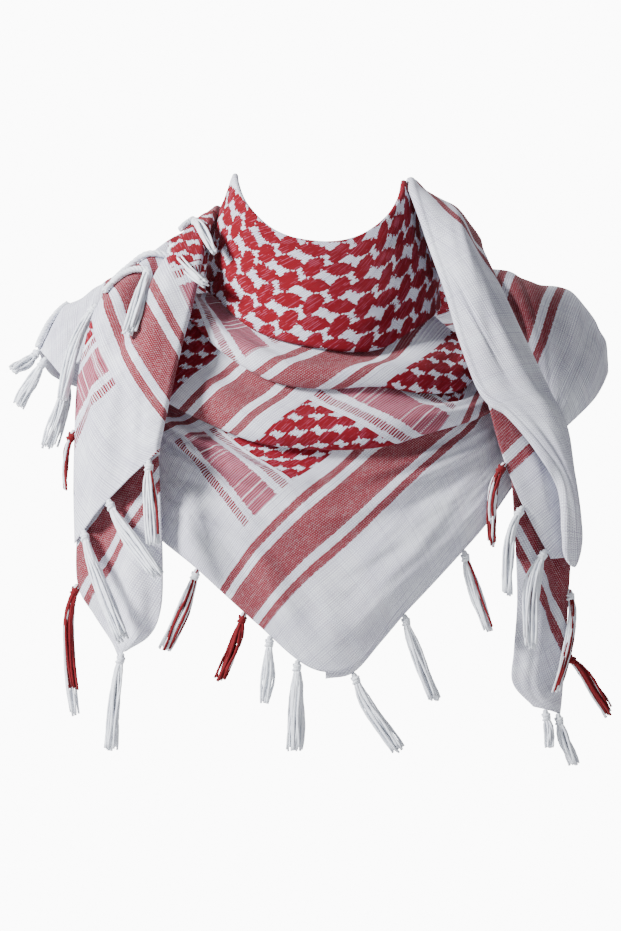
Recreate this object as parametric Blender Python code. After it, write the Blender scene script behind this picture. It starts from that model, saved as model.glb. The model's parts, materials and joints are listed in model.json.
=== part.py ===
"""A keffiyeh worn as a neck scarf.

One woven square with knotted tassels, folded on its diagonal, with the corner at the front, the
ends crossed behind the neck and hung over the shoulders. Each stretch that shows is a thin wall.

X runs to the viewer's right, -Y faces the viewer and Z is up. The origin is the centre of the
neck, level with the top of the shoulders. The tables are in millimetres.
"""

import math
from collections import namedtuple

import bpy
from mathutils import Vector

# Driving dimensions, in millimetres
MM = 0.001
WALL = 1.6  # one doubled layer of cotton
SEAM_GAP = 0.3
HEM_GAP = 0.6  # a tassel from its hem
STEP_ANGLE = 8.0  # the front stretches share these angular stations
COLLAR_REACH = 120.0  # how far round the neck the collar goes, each way
FRONT_REACH = 80.0  # the same for the swags and the point below it
FOLD_RADIUS = 3.2  # of a pressed fold edge
SOFT_RADIUS = 4.2  # of a hanging fold edge
TURN_STEPS = 3  # segments in a half turn
TUCK_STEPS = 2
EDGE_SHARE = 0.2  # the most of a narrow band's width that an edge's radius takes
TUCK_SHARE = 0.3
REST_GAP = 2.5  # from the middle of a rolled edge's wall to that of the stretch it rests on
SIDE_GAP = 3.4  # added to that at the far sides
HIDDEN_REACH = 2.5  # how far a stretch goes up behind the rolled edge above it

# Tassels
CORD_RADIUS = 1.2
KNOT_RADIUS = 4.0
KNOT_LENGTH = 7.5
CORD_LENGTH = 4.0
STRAND_STEPS = 3
STRAND_ROOT = 0.72  # each strand's root as a share of its part of the head
STRAND_TIP = 0.6

WHITE = (0.86, 0.87, 0.9, 1)
RED = (0.55, 0.05, 0.06, 1)
PINK = (0.75, 0.4, 0.42, 1)

Edge = namedtuple("Edge", "radius turn tuck")
HEM = Edge(0, 0, 0)
Fold = namedtuple("Fold", "key0 across0 key1 across1 half_width height")
Band = namedtuple("Band", "first second crown belly side start_edge end_edge folds keys")

Ring = namedtuple("Ring", "angle top_r top_z low_r low_z crown")
Drop = namedtuple("Drop", "angle x y z crown")
Strip = namedtuple("Strip", "key ax ay az bx by bz crown")
Sample = namedtuple("Sample", "key x y z")
Tassel = namedtuple("Tassel", "name wall key across end_x end_y end_z strands spread lift")


# ---------------------------------------------------------------- tables

COLLAR = (
    Ring(-120, 80, 84, 102, 24, 2),
    Ring(-105, 81, 104, 105, 22, 2),
    Ring(-90, 81, 117, 108, 18, 2),
    Ring(-60, 80, 88, 112, 6, 4),
    Ring(-30, 79, 62, 115, -26, 6),
    Ring(0, 78, 53, 117, -41, 8),
    Ring(25, 78, 57, 118, -43, 8),
    Ring(50, 79, 74, 117, -22, 6),
    Ring(75, 80, 98, 114, -6, 4),
    Ring(90, 80, 111, 112, 0, 3),
    Ring(105, 80, 99, 109, 6, 2),
    Ring(120, 79, 80, 106, 12, 2),
)

NAPE_WRAP = (
    Ring(97, 91, 112.5, 128, 58, 4),
    Ring(118, 92, 96, 120, 34, 5),
    Ring(140, 91, 67, 116, 20, 6),
    Ring(165, 88, 50, 114, 12, 6),
    Ring(190, 85, 46, 111, 8, 6),
    Ring(215, 82, 58, 107, 14, 4),
    Ring(239.7, 80, 84, 102, 24, 2),
)

NAPE_CROSS = (
    Ring(128, 118.0, 61, 137, 24, 7),
    Ring(150, 121, 58, 142, 9, 8),
    Ring(175, 119, 48, 144, -6, 8),
    Ring(200, 117, 52, 139, -4, 8),
    Ring(225, 111, 72, 132, 18, 7),
    Ring(250, 104, 88, 127, 44, 6),
    Ring(263, 102, 84, 128, 58, 4),
)

UPPER_SWAG = (
    Drop(-80, -140, -44, 4, 3),
    Drop(-60, -122, -78, -7, 3),
    Drop(-40, -92, -106, -42, 5),
    Drop(-20, -46, -124, -72, 9),
    Drop(0, 2, -130, -80, 9),
    Drop(20, 50, -130, -77, 9),
    Drop(40, 92, -121, -82, 9),
    Drop(60, 126, -103, -80, 8),
    Drop(80, 150, -80, -62, 6),
)

LOWER_SWAG = (
    Drop(-80, -166, -54, -62, 5),
    Drop(-60, -146, -88, -88, 6),
    Drop(-40, -106, -117, -110, 8),
    Drop(-20, -55, -134, -130, 10),
    Drop(0, 4, -141, -136, 10),
    Drop(20, 58, -140, -133, 9),
    Drop(40, 104, -129, -119, 7),
    Drop(60, 138, -112, -108, 4),
    Drop(80, 164, -88, -96, 3),
)

FRONT_POINT = (
    Drop(-80, -172, -72, -176, 4),
    Drop(-60, -152, -100, -214, 5),
    Drop(-40, -113, -124, -247, 6),
    Drop(-20, -58, -139, -297, 7),
    Drop(-4, -8, -144, -338, 7),
    Drop(8, 31, -143, -336, 7),
    Drop(20, 68, -139, -294, 7),
    Drop(40, 116, -128, -243, 6),
    Drop(60, 156, -112, -198, 5),
    Drop(80, 180, -90, -164, 4),
)

# first edge: away from the centre; second edge: towards it
LEFT_PANEL = (
    Strip(0, -127.6, 13.4, 58, -102, 10.4, 84, 5),
    Strip(1, -152, -10, 46, -108, -40, 64, 8),
    Strip(2, -188, -32, 18, -114, -76, 34, 10),
    Strip(3, -207, -50, -6, -121, -103, -2, 12),
    Strip(4, -217, -64, -40, -131, -124, -40, 13),
    Strip(5, -224, -74, -78, -140, -137, -78, 13),
    Strip(6, -226, -79, -120, -147, -144, -110, 12),
    Strip(7, -227, -82, -170, -151, -147, -128, 10),
    Strip(8, -226, -84, -224, -152, -147, -143, 8),
)

LEFT_FLAP = (
    Strip(0, -219, -68, -150, -150, -124, -118, 4),
    Strip(1, -223.9, -82, -212, -146, -126, -186, 6),
    Strip(2, -223, -81.4, -262, -144, -124, -248, 7),
    Strip(3, -208, -82, -290, -146, -120, -284, 6),
    Strip(4, -192, -92, -314, -156, -114, -308, 4),
    Strip(5, -186, -98, -327, -177, -102, -322, 1),
)

LEFT_SHOULDER = (
    Strip(0, -196, -34, -40, -238, -46, -70, 5),
    Strip(1, -152, -14, 22, -257, -22, -48, 10),
    Strip(2, -111, 16, 54, -262, 20, -44, 18),
    Strip(3, -102, 47, 34.6, -248, 72, -70, 22),
    Strip(4, -79, 85, 14, -196, 120, -84, 20),
    Strip(5, -49, 110, -2, -116, 148, -74, 15),
    Strip(6, -10, 122, -9, -36, 158, -56, 10),
    Strip(7, 33, 120, -6, 50, 153, -42, 6),
)

RIGHT_ROLL = (
    Strip(0, 90.7, 9.4, 113.4, 127.2, 13.2, 58, 4),
    Strip(1, 93, -28, 98, 147, -14, 60, 10),
    Strip(2, 106, -62, 54, 152, -46, 46, 13),
    Strip(3, 120, -94, 12, 167, -78, 12, 13),
    Strip(4, 134, -116, -37, 189, -97, -37, 13),
    Strip(5, 152, -128, -83, 211, -106, -83, 13),
    Strip(6, 166, -134, -116, 227, -110, -116, 12),
    Strip(7, 196, -134, -150, 234, -110, -158, 9),
    Strip(8, 222, -128, -180, 239, -108, -202, 5),
    Strip(9, 224, -122, -216, 241, -106, -222, 3),
    Strip(10, 220, -116, -243, 236, -106, -246, 2),
)

RIGHT_PANEL = (
    Strip(0, 149, -108, -76, 190, -90, -82, 3),
    Strip(1, 157, -112, -105, 206, -88, -110, 4),
    Strip(2, 165, -114, -135, 221, -88, -140, 5),
    Strip(3, 176, -118, -166, 229, -97, -170, 5),
    Strip(4, 191, -115, -199, 229, -97, -203, 4),
    Strip(5, 212.2, -110.1, -238, 227.1, -99.1, -237, 1),
)

RIGHT_FLAP = (
    Strip(0, 172, -103, -130, 226, -78.2, -132, 4),
    Strip(1, 176, -106, -166, 230, -79, -170, 5),
    Strip(2, 179, -107, -216, 232, -82, -220, 6),
    Strip(3, 181, -106, -276, 229, -86, -272, 6),
    Strip(4, 178, -108, -322, 226, -92, -322, 6),
    Strip(5, 177, -108, -352, 223, -96, -362, 5),
    Strip(6, 196, -106, -374, 221, -99, -381, 2),
)

RIGHT_SHOULDER = (
    Strip(0, 200, -76, -76, 226, -80, -118, 5),
    Strip(1, 176, -56, -16, 254, -56, -90, 16),
    Strip(2, 150, -26, 24, 267, -20, -66, 26),
    Strip(3, 127.6, 16, 50.6, 262, 20, -70, 36),
    Strip(4, 112, 54, 32.8, 240, 78, -84, 28),
    Strip(5, 84, 82, 14, 186, 124, -86, 20),
    Strip(6, 50, 104.5, 8.5, 112, 147, -70, 13),
    Strip(7, 20, 110, 2, 36, 143, -56, 7),
)

COLLAR_FOLDS = (
    Fold(-100, 0.75, -20, 0.62, 7, 1.6),
    Fold(20, 0.62, 100, 0.8, 8, 1.8),
    Fold(30, 0.2, 95, 0.35, 7, -1.6),
)
UPPER_SWAG_FOLDS = (
    Fold(-70, 0.45, 0, 0.6, 7, 2.4),
    Fold(10, 0.7, 75, 0.5, 8, 2.6),
)
LOWER_SWAG_FOLDS = (
    Fold(-78, 0.5, -25, 0.55, 8, 3.0),
    Fold(15, 0.55, 78, 0.5, 8, 2.8),
)
FRONT_POINT_FOLDS = (
    Fold(-70, 0.3, -8, 0.2, 10, 5.0),
    Fold(-78, 0.62, -30, 0.42, 10, -4.0),
    Fold(12, 0.3, 76, 0.36, 11, 5.0),
    Fold(5, 0.42, 60, 0.5, 16, -3.5),
    Fold(-25, 0.55, -6, 0.9, 14, 3.0),
)
LEFT_PANEL_FOLDS = (
    Fold(0.6, 0.42, 3.9, 0.4, 15, -20.0),
    Fold(1.2, 0.8, 5.5, 0.78, 13, 5.0),
    Fold(4.2, 0.3, 7.6, 0.42, 14, 4.0),
    Fold(5.0, 0.65, 7.8, 0.7, 12, -4.0),
)
LEFT_FLAP_FOLDS = (
    Fold(0.2, 0.35, 3.4, 0.45, 13, -8.0),
    Fold(0.6, 0.72, 4.2, 0.66, 11, 5.0),
)
LEFT_SHOULDER_FOLDS = (
    Fold(0.6, 0.55, 4.5, 0.4, 15, 5.0),
    Fold(1.5, 0.2, 6.0, 0.25, 12, -5.0),
    Fold(3.0, 0.75, 6.5, 0.6, 13, 4.5),
)
RIGHT_ROLL_FOLDS = (
    Fold(1.2, 0.75, 3.2, 0.85, 9, -4.0),
    Fold(2.8, 0.45, 5.6, 0.3, 8, -3.0),
    Fold(4.4, 0.7, 7.0, 0.6, 10, 3.0),
)
RIGHT_PANEL_FOLDS = (Fold(0.8, 0.4, 4.2, 0.5, 11, 3.5),)
RIGHT_FLAP_FOLDS = (
    Fold(0.8, 0.35, 4.8, 0.3, 10, 4.0),
    Fold(0.5, 0.7, 5.2, 0.68, 10, -5.0),
)
RIGHT_SHOULDER_FOLDS = (
    Fold(0.8, 0.18, 2.9, 0.2, 9, -7.0),
    Fold(1.0, 0.62, 4.8, 0.5, 16, 5.0),
    Fold(2.4, 0.42, 6.3, 0.3, 12, -5.0),
    Fold(3.5, 0.8, 6.6, 0.62, 13, 4.0),
)
NAPE_WRAP_FOLDS = (
    Fold(110, 0.4, 215, 0.45, 8, 2.5),
    Fold(118, 0.65, 205, 0.72, 8, -2.5),
)
NAPE_CROSS_FOLDS = (
    Fold(140, 0.35, 250, 0.4, 8, 3.5),
    Fold(148, 0.62, 240, 0.68, 8, -3.5),
)

TASSELS = (
    Tassel("tassel_shoulder_a", "left_shoulder", 1.25, 1, -285, -28, -64, 5, 5, 0),
    Tassel("tassel_shoulder_b", "left_shoulder", 0.75, 1, -279, -34, -98, 5, 6, 0),
    Tassel("tassel_shoulder_c", "left_shoulder", 0, 0.9, -251, -56, -136, 5, 9, 0),
    Tassel("tassel_left_a", "left_panel", 2.9, 0, -238, -82, -92, 5, 6, 0),
    Tassel("tassel_left_b", "left_panel", 1.8, 0.3, -177, -120, -31, 5, 6, 24),
    Tassel("tassel_left_c", "left_panel", 1.1, 0.6, -106, -112, 20, 5, 5, 16),
    Tassel("tassel_left_d", "left_panel", 0.4, 0.7, -97, -82, 46, 5, 3, 10),
    Tassel("tassel_left_e", "left_panel", 6.0, 0, -235, -86, -175, 5, 3, 0),
    Tassel("tassel_left_f", "left_panel", 8, 0.95, -152, -166, -225, 5, 8, 0),
    Tassel("tassel_left_g", "left_panel", 8, 0.5, -148, -160, -253, 5, 7, 0),
    Tassel("tassel_left_h", "left_panel", 8, 0.15, -180, -160, -312, 5, 7, 0),
    Tassel("tassel_flap_a", "left_flap", 2.0, 0, -226, -80, -384, 5, 6, 0),
    Tassel("tassel_flap_b", "left_flap", 5, 0.5, -193, -104, -414, 5, 7, 0),
    Tassel("tassel_point_a", "front_point", -40, 1, -142, -124, -322, 5, 6, 0),
    Tassel("tassel_point_b", "front_point", -24, 1, -92, -138, -350, 5, 6, 0),
    Tassel("tassel_point_c", "front_point", -16, 1, -50, -145, -370, 5, 5, 0),
    Tassel("tassel_point_d", "front_point", -8, 1, -23, -148, -414, 5, 8, 0),
    Tassel("tassel_under_a", "under_layer", 8, 1, 74, -146, -414, 5, 6, 0),
    Tassel("tassel_under_b", "under_layer", 24, 1, 106, -138, -368, 5, 7, 0),
    Tassel("tassel_under_c", "under_layer", 48, 1, 156, -122, -304, 5, 6, 0),
    Tassel("tassel_right_a", "right_panel", 2.5, 0, 158, -120, -226, 5, 4, 0),
    Tassel("tassel_right_b", "right_panel", 3.75, 0, 172, -128, -271, 5, 5, 0),
    Tassel("tassel_right_c", "right_panel", 4.8, 0, 192, -136, -318, 5, 8, 0),
    Tassel("tassel_right_d", "right_flap", 2.9, 1, 217, -128, -359, 5, 4, 0),
    Tassel("tassel_right_e", "right_flap", 4.1, 1, 268, -84, -384, 5, 6, 0),
    Tassel("tassel_right_f", "right_flap", 6, 0.4, 212, -106, -412, 5, 4, 0),
    Tassel("tassel_right_g", "right_flap", 6, 0.9, 235, -100, -428, 5, 5, 0),
)


# ---------------------------------------------------------------- curves

def through(table, columns):
    """A smooth curve through named columns of a table, as a function of its first column."""
    keys = [row[0] for row in table]
    points = [[getattr(row, name) for name in columns] for row in table]

    def slope(i, c):
        low, high = max(i - 1, 0), min(i + 1, len(keys) - 1)
        return (points[high][c] - points[low][c]) / (keys[high] - keys[low])

    def at(key):
        i = max(k for k in range(len(keys) - 1) if key >= keys[k] or k == 0)
        span = keys[i + 1] - keys[i]
        t = (key - keys[i]) / span
        blend = (2 * t**3 - 3 * t**2 + 1, t**3 - 2 * t**2 + t, 3 * t**2 - 2 * t**3, t**3 - t**2)
        return [
            blend[0] * points[i][c] + blend[1] * span * slope(i, c)
            + blend[2] * points[i + 1][c] + blend[3] * span * slope(i + 1, c)
            for c in range(len(columns))
        ]

    return at


def ring_edge(table, radius, height):
    """The edge of a ring table as a function of the angle; 0 degrees is the front."""
    read = through(table, (radius, height))

    def at(angle):
        r, z = read(angle)
        turn = math.radians(angle)
        return Vector((r * math.sin(turn), -r * math.cos(turn), z))

    return at


def point_edge(table, columns):
    read = through(table, columns)
    return lambda key: Vector(read(key))


def number(table, column):
    read = through(table, (column,))
    return lambda key: read(key)[0]


def sampled(curve, keys):
    """The same curve, worked out once at the stations and read smoothly between them."""
    return point_edge([Sample(key, *curve(key)) for key in keys], ("x", "y", "z"))


# ---------------------------------------------------------------- walls

def facing(band, key):
    """Unit vector out of the band's chord at a station."""
    step = 0.01 * (band.keys[-1] - band.keys[0])
    before = (band.first(key - step) + band.second(key - step)) / 2
    after = (band.first(key + step) + band.second(key + step)) / 2
    chord = band.second(key) - band.first(key)
    return chord.cross(after - before).normalized() * band.side


def fold_height(band, key, across):
    """Sum of the soft ridges and troughs, each along a straight line over the band."""
    middle = (band.keys[0] + band.keys[-1]) / 2
    width = (band.second(middle) - band.first(middle)).length
    ends = [(band.first(k) + band.second(k)) / 2 for k in (band.keys[0], middle, band.keys[-1])]
    run = (ends[1] - ends[0]).length + (ends[2] - ends[1]).length
    per_key = run / abs(band.keys[-1] - band.keys[0])
    total = 0.0
    for f in band.folds:
        dx, dy = (f.key1 - f.key0) * per_key, (f.across1 - f.across0) * width
        px, py = (key - f.key0) * per_key, (across - f.across0) * width
        along = (px * dx + py * dy) / (dx * dx + dy * dy)
        t = min(max(along, 0.0), 1.0)
        away = math.hypot(px - t * dx, py - t * dy)
        total += f.height * math.sin(math.pi * (0.08 + 0.84 * t)) * math.exp(-((away / f.half_width) ** 2))
    return total


def face(band, key, across):
    first, second = band.first(key), band.second(key)
    deepest = band.belly / (band.belly + 1)
    bulge = abs(across) ** band.belly * (1 - across) / (deepest**band.belly * (1 - deepest))
    swell = band.crown(key) * bulge + fold_height(band, key, across)
    return first.lerp(second, across) + facing(band, key) * swell


def frame_at(band, key, across):
    """Point, unit vector across and unit normal of the band's face."""
    step = 0.01
    point = face(band, key, across)
    tangent = (face(band, key, across + step) - face(band, key, across - step)).normalized()
    key_step = step * (band.keys[-1] - band.keys[0])
    along = face(band, key + key_step, across) - face(band, key - key_step, across)
    return point, tangent, tangent.cross(along).normalized() * band.side


def turned_edge(band, key, across, edge):
    """Points from a band's edge round its turn and back along the face: nearest the edge first."""
    if not edge.radius:
        return []
    point, tangent, normal = frame_at(band, key, across)
    out = tangent * (1 if across > 0.5 else -1)
    width = (band.second(key) - band.first(key)).length
    radius = min(edge.radius, width * EDGE_SHARE)
    tuck = min(edge.tuck, width * TUCK_SHARE)
    points = []
    for i in range(1, TURN_STEPS + 1):
        turn = math.pi * i / TURN_STEPS
        points.append(
            point + out * radius * math.sin(turn)
            + normal * edge.turn * radius * (1 - math.cos(turn))
        )
    for i in range(1, TUCK_STEPS + 1 if edge.tuck else 0):
        back = tuck * i / TUCK_STEPS / width
        point, _, normal = frame_at(band, key, across - back if across > 0.5 else across + back)
        points.append(point + normal * edge.turn * 2 * radius)
    return points


def profile(band, key, steps):
    """One section of a band, from the end of its first edge's tuck to that of its second's."""
    before = turned_edge(band, key, 0.0, band.start_edge)[::-1]
    middle = [face(band, key, i / steps) for i in range(steps + 1)]
    return before + middle + turned_edge(band, key, 1.0, band.end_edge)


def stations(start, end, count):
    return [start + (end - start) * i / count for i in range(count + 1)]


def material(name, colour):
    made = bpy.data.materials.new(name)
    made.use_nodes = True
    shader = made.node_tree.nodes["Principled BSDF"]
    shader.inputs["Base Color"].default_value = colour
    shader.inputs["Roughness"].default_value = 0.9
    shader.inputs["Metallic"].default_value = 0.0
    return made


def link(name, points, faces, paint):
    mesh = bpy.data.meshes.new(name)
    mesh.from_pydata([tuple(c * MM for c in p) for p in points], [], faces)
    mesh.materials.append(paint)
    obj = bpy.data.objects.new(name, mesh)
    bpy.context.scene.collection.objects.link(obj)
    mesh.shade_smooth()
    return obj


def wall(name, band, steps, paint):
    """The band as a closed wall of cloth."""
    rows = [profile(band, key, steps) for key in band.keys]
    wide = len(rows[0])
    points = [p for row in rows for p in row]
    faces = []
    for i in range(len(rows) - 1):
        for j in range(wide - 1):
            corner = i * wide + j
            quad = (corner, corner + 1, corner + wide + 1, corner + wide)
            faces.append(quad if band.side > 0 else quad[::-1])
    obj = link(name, points, faces, paint)
    solid = obj.modifiers.new("cloth", "SOLIDIFY")
    solid.thickness = WALL * MM
    solid.offset = 0
    return obj


# ---------------------------------------------------------------- front stretches

def ring_band(table, keys, start_edge, end_edge, folds):
    return Band(
        ring_edge(table, "top_r", "top_z"), ring_edge(table, "low_r", "low_z"),
        number(table, "crown"), 1, 1, start_edge, end_edge, folds, keys,
    )


def strip_band(table, count, start_edge, end_edge, folds, side, belly=1):
    return Band(
        point_edge(table, ("ax", "ay", "az")), point_edge(table, ("bx", "by", "bz")),
        number(table, "crown"), belly, side, start_edge, end_edge, folds,
        stations(table[0].key, table[-1].key, count),
    )


def hanging_band(upper, table, keys, end_edge, folds):
    """A stretch that starts behind the one above it and passes just under its rolled edge."""
    low = point_edge(table, ("x", "y", "z"))

    def first(key):
        roll = turned_edge(upper, key, 1.0, upper.end_edge)[:2]
        down = (low(key) - roll[1]).normalized()
        edge, tangent, normal = frame_at(upper, key, 1.0)
        inward = -(normal - down * normal.dot(down)).normalized()
        lowest = max(roll, key=inward.dot)
        gap = REST_GAP + SIDE_GAP * (key / FRONT_REACH) ** 2
        behind = lowest + inward * gap - down * (down.dot(lowest - roll[1]) + HIDDEN_REACH)
        radius = upper.end_edge.radius
        beyond = edge + tangent * (radius + REST_GAP) - normal * 2 * radius
        steep = min(max((-tangent.z - 0.45) / 0.3, 0.0), 1.0)
        return beyond.lerp(behind, steep)

    return Band(
        sampled(first, keys), low, number(table, "crown"), 3, 1, HEM, end_edge, folds, keys,
    )


def front_bands():
    around = round(2 * COLLAR_REACH / STEP_ANGLE)
    front = round(2 * FRONT_REACH / STEP_ANGLE)
    collar_keys = stations(-COLLAR_REACH, COLLAR_REACH, around)
    keys = stations(-FRONT_REACH, FRONT_REACH, front)
    collar = ring_band(
        COLLAR, collar_keys, Edge(2.4, -1, 26), Edge(FOLD_RADIUS, -1, 7), COLLAR_FOLDS
    )
    upper = hanging_band(collar, UPPER_SWAG, keys, Edge(SOFT_RADIUS, -1, 0), UPPER_SWAG_FOLDS)
    lower = hanging_band(upper, LOWER_SWAG, keys, Edge(SOFT_RADIUS, -1, 0), LOWER_SWAG_FOLDS)
    point = hanging_band(lower, FRONT_POINT, keys, HEM, FRONT_POINT_FOLDS)
    return {"collar_wrap": collar, "upper_swag": upper, "lower_swag": lower, "front_point": point}


def under_layer(point):
    """The second layer of the folded square, below the front point and a little to its right."""
    peek, rise, behind = 7.0, 26.0, WALL + 1.0
    keys = stations(0, FRONT_REACH, round(FRONT_REACH / STEP_ANGLE))

    def second(key):
        edge, tangent, normal = frame_at(point, key, 1.0)
        return edge + tangent * peek - normal * behind

    def first(key):
        width = (point.second(key) - point.first(key)).length
        edge, _, normal = frame_at(point, key, 1.0 - rise / width)
        return edge - normal * behind

    return Band(
        sampled(first, keys), sampled(second, keys), lambda key: 0.0, 1, 1, HEM, HEM, (), keys
    )


# ---------------------------------------------------------------- tassels

def way_out(band, key, across):
    """Off the cloth: past the nearest hem, or off the face; and how far off a tassel starts."""
    _, tangent, normal = frame_at(band, key, across)
    if across in (0, 1):
        return tangent * (1 if across else -1), HEM_GAP
    if key in (band.keys[0], band.keys[-1]):
        step = 0.02 if key == band.keys[0] else -0.02
        inner = face(band, key + step * (band.keys[-1] - band.keys[0]), across)
        return (face(band, key, across) - inner).normalized(), HEM_GAP
    return normal, WALL / 2 + SEAM_GAP


def ring_points(centre, axis, radius, count):
    side = axis.orthogonal().normalized()
    other = axis.cross(side)
    turns = [math.tau * i / count for i in range(count)]
    return [centre + (side * math.cos(t) + other * math.sin(t)) * radius for t in turns]


def tassel(row, band, paint):
    """A knotted head with its strands grown out of the underside, all one closed body."""
    off, gap = way_out(band, row.key, row.across)
    root = face(band, row.key, row.across) + off * gap
    end = Vector((row.end_x, row.end_y, row.end_z))
    axis = (off * 0.9 + (end - root).normalized()).normalized()
    count = row.strands
    head = CORD_LENGTH + KNOT_LENGTH
    shape = (
        (1.3, CORD_RADIUS),
        (CORD_LENGTH, CORD_RADIUS),
        (CORD_LENGTH + KNOT_LENGTH * 0.35, KNOT_RADIUS),
        (head, KNOT_RADIUS * 0.7),
    )
    points = [root]
    faces = []
    for height, radius in shape:
        points += ring_points(root + axis * height, axis, radius, count)
    for i in range(count):
        j = (i + 1) % count
        faces.append((0, 1 + j, 1 + i))
        for ring in range(len(shape) - 1):
            low = 1 + ring * count
            faces.append((low + j, low + count + j, low + count + i, low + i))
    last = 1 + (len(shape) - 1) * count
    hub = len(points)
    points.append(root + axis * (head + 0.6))
    for i in range(count):
        corners = (last + i, hub, last + (i + 1) % count)
        middle = sum((points[c] for c in corners), Vector()) / 3
        apart = (middle - points[hub])
        apart = (apart - axis * apart.dot(axis)).normalized()
        reach = (end - middle).length
        bend = middle + axis * reach * 0.3 + apart * row.spread * 0.8 + off * row.lift
        tip = end + apart * row.spread
        before = corners
        for step in range(STRAND_STEPS + 1):
            t = step / STRAND_STEPS
            centre = middle * (1 - t) ** 2 + bend * 2 * t * (1 - t) + tip * t**2
            size = STRAND_ROOT + (STRAND_TIP - STRAND_ROOT) * t
            heading = (bend - middle).lerp(tip - bend, t)
            turn = axis.rotation_difference(heading)
            now = tuple(range(len(points), len(points) + 3))
            points += [centre + turn @ (points[c] - middle) * size for c in corners]
            for k in range(3):
                n = (k + 1) % 3
                faces.append((before[k], now[k], now[n], before[n]))
            before = now
        faces.append(before[::-1])
    return link(row.name, points, faces, paint)


def main():
    for obj in list(bpy.data.objects):
        bpy.data.objects.remove(obj)
    paints = {"white": material("white_cotton", WHITE), "red": material("red_cotton", RED),
              "mixed": material("woven_mix", PINK)}
    bands = front_bands()
    steps = {"collar_wrap": 6, "upper_swag": 5, "lower_swag": 5, "front_point": 9}
    soft = Edge(SOFT_RADIUS, -1, 12)
    bands["under_layer"] = under_layer(bands["front_point"])
    bands["nape_wrap"] = ring_band(
        NAPE_WRAP, stations(97, 239.3, 14), Edge(2.4, -1, 26), Edge(FOLD_RADIUS, -1, 12),
        NAPE_WRAP_FOLDS)
    bands["nape_cross"] = ring_band(
        NAPE_CROSS, stations(128, 263, 13), Edge(FOLD_RADIUS, -1, 0), soft, NAPE_CROSS_FOLDS)
    bands["left_panel"] = strip_band(LEFT_PANEL, 18, HEM, soft, LEFT_PANEL_FOLDS, -1)
    bands["left_flap"] = strip_band(LEFT_FLAP, 12, HEM, HEM, LEFT_FLAP_FOLDS, -1)
    bands["left_shoulder"] = strip_band(LEFT_SHOULDER, 18, HEM, HEM, LEFT_SHOULDER_FOLDS, -1, 2)
    bands["right_roll"] = strip_band(RIGHT_ROLL, 19, soft, soft, RIGHT_ROLL_FOLDS, -1)
    bands["right_panel"] = strip_band(RIGHT_PANEL, 12, HEM, HEM, RIGHT_PANEL_FOLDS, -1)
    bands["right_flap"] = strip_band(RIGHT_FLAP, 14, HEM, HEM, RIGHT_FLAP_FOLDS, -1)
    bands["right_shoulder"] = strip_band(RIGHT_SHOULDER, 18, HEM, HEM, RIGHT_SHOULDER_FOLDS, 1, 2)
    for name, band in bands.items():
        wall(name, band, steps.get(name, 8), paints["white"])
    for row in TASSELS:
        tassel(row, bands[row.wall], paints["red"])


main()
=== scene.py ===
"""A keffiyeh worn as a neck scarf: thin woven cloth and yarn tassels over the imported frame."""
import json
import math
import random
from collections import namedtuple

import bpy
from bpy.props import FloatProperty, FloatVectorProperty, IntProperty, PointerProperty
from mathutils import Matrix, Vector, noise

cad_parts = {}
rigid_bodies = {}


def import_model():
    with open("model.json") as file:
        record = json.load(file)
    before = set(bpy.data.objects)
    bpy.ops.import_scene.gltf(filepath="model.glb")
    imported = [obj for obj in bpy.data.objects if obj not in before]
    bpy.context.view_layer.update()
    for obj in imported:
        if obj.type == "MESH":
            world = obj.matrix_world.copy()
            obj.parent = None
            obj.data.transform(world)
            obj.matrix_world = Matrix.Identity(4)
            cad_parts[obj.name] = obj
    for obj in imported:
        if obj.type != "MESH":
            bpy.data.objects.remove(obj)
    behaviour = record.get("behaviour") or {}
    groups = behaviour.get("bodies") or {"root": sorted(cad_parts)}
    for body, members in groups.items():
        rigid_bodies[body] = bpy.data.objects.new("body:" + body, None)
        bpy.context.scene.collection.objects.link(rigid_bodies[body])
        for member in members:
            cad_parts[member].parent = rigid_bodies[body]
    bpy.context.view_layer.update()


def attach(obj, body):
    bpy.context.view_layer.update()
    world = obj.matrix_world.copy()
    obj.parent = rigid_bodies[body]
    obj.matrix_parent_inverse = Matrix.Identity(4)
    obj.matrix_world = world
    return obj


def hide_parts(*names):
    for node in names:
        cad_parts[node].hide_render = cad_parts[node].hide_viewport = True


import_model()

bl_info = {
    "name": "Keffiyeh neck scarf",
    "version": (1, 0, 0),
    "blender": (4, 5, 0),
    "location": "View3D > Sidebar > Scarf",
    "description": "A woven square folded round the neck, with its ends over the shoulders",
    "category": "Add Mesh",
}

# ---------------------------------------------------------------- sizes, in millimetres

MM = 0.001
SQUARE = 1150.0  # the whole cloth, each way
WALL = 1.6  # the solids' wall, whose middle the cloth follows
NECK_RADIUS = 2.4  # the fold round the neck, then a pressed fold and a soft one
FOLD_RADIUS = 3.2
SOFT_RADIUS = 4.2
NECK_TUCK = 26  # how far the cloth turned in at each fold runs back
FOLD_TUCK = 12
LOW_TUCK = 7
EDGE_SHARE = 0.2  # the most that a fold and its tuck take of a narrow stretch
TUCK_SHARE = 0.3
REST_GAP = 2.5  # between two stretches at the front, and how much wider it is at the sides
SIDE_GAP = 3.4
HIDDEN_REACH = 2.5  # how far a stretch runs up behind the one above
HEM_GAP = 0.6  # between a hem and the head of its tassel

# Degrees round the neck, with the front at 0: the solids' stations and how far they go.
STEP_ANGLE = 8.0
COLLAR_REACH = 120.0
FRONT_REACH = 80.0

# Steps round a fold and along its tuck, as the solids have them and as the cloth has them.
TURN_STEPS = 3
FINE_TURN = 9
TUCK_STEPS = 6

# An edge: the radius of its fold, the side it turns to and how far it runs back. A hem has none.
Edge = namedtuple("Edge", "radius turn tuck")
HEM = Edge(0, 0, 0)
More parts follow.
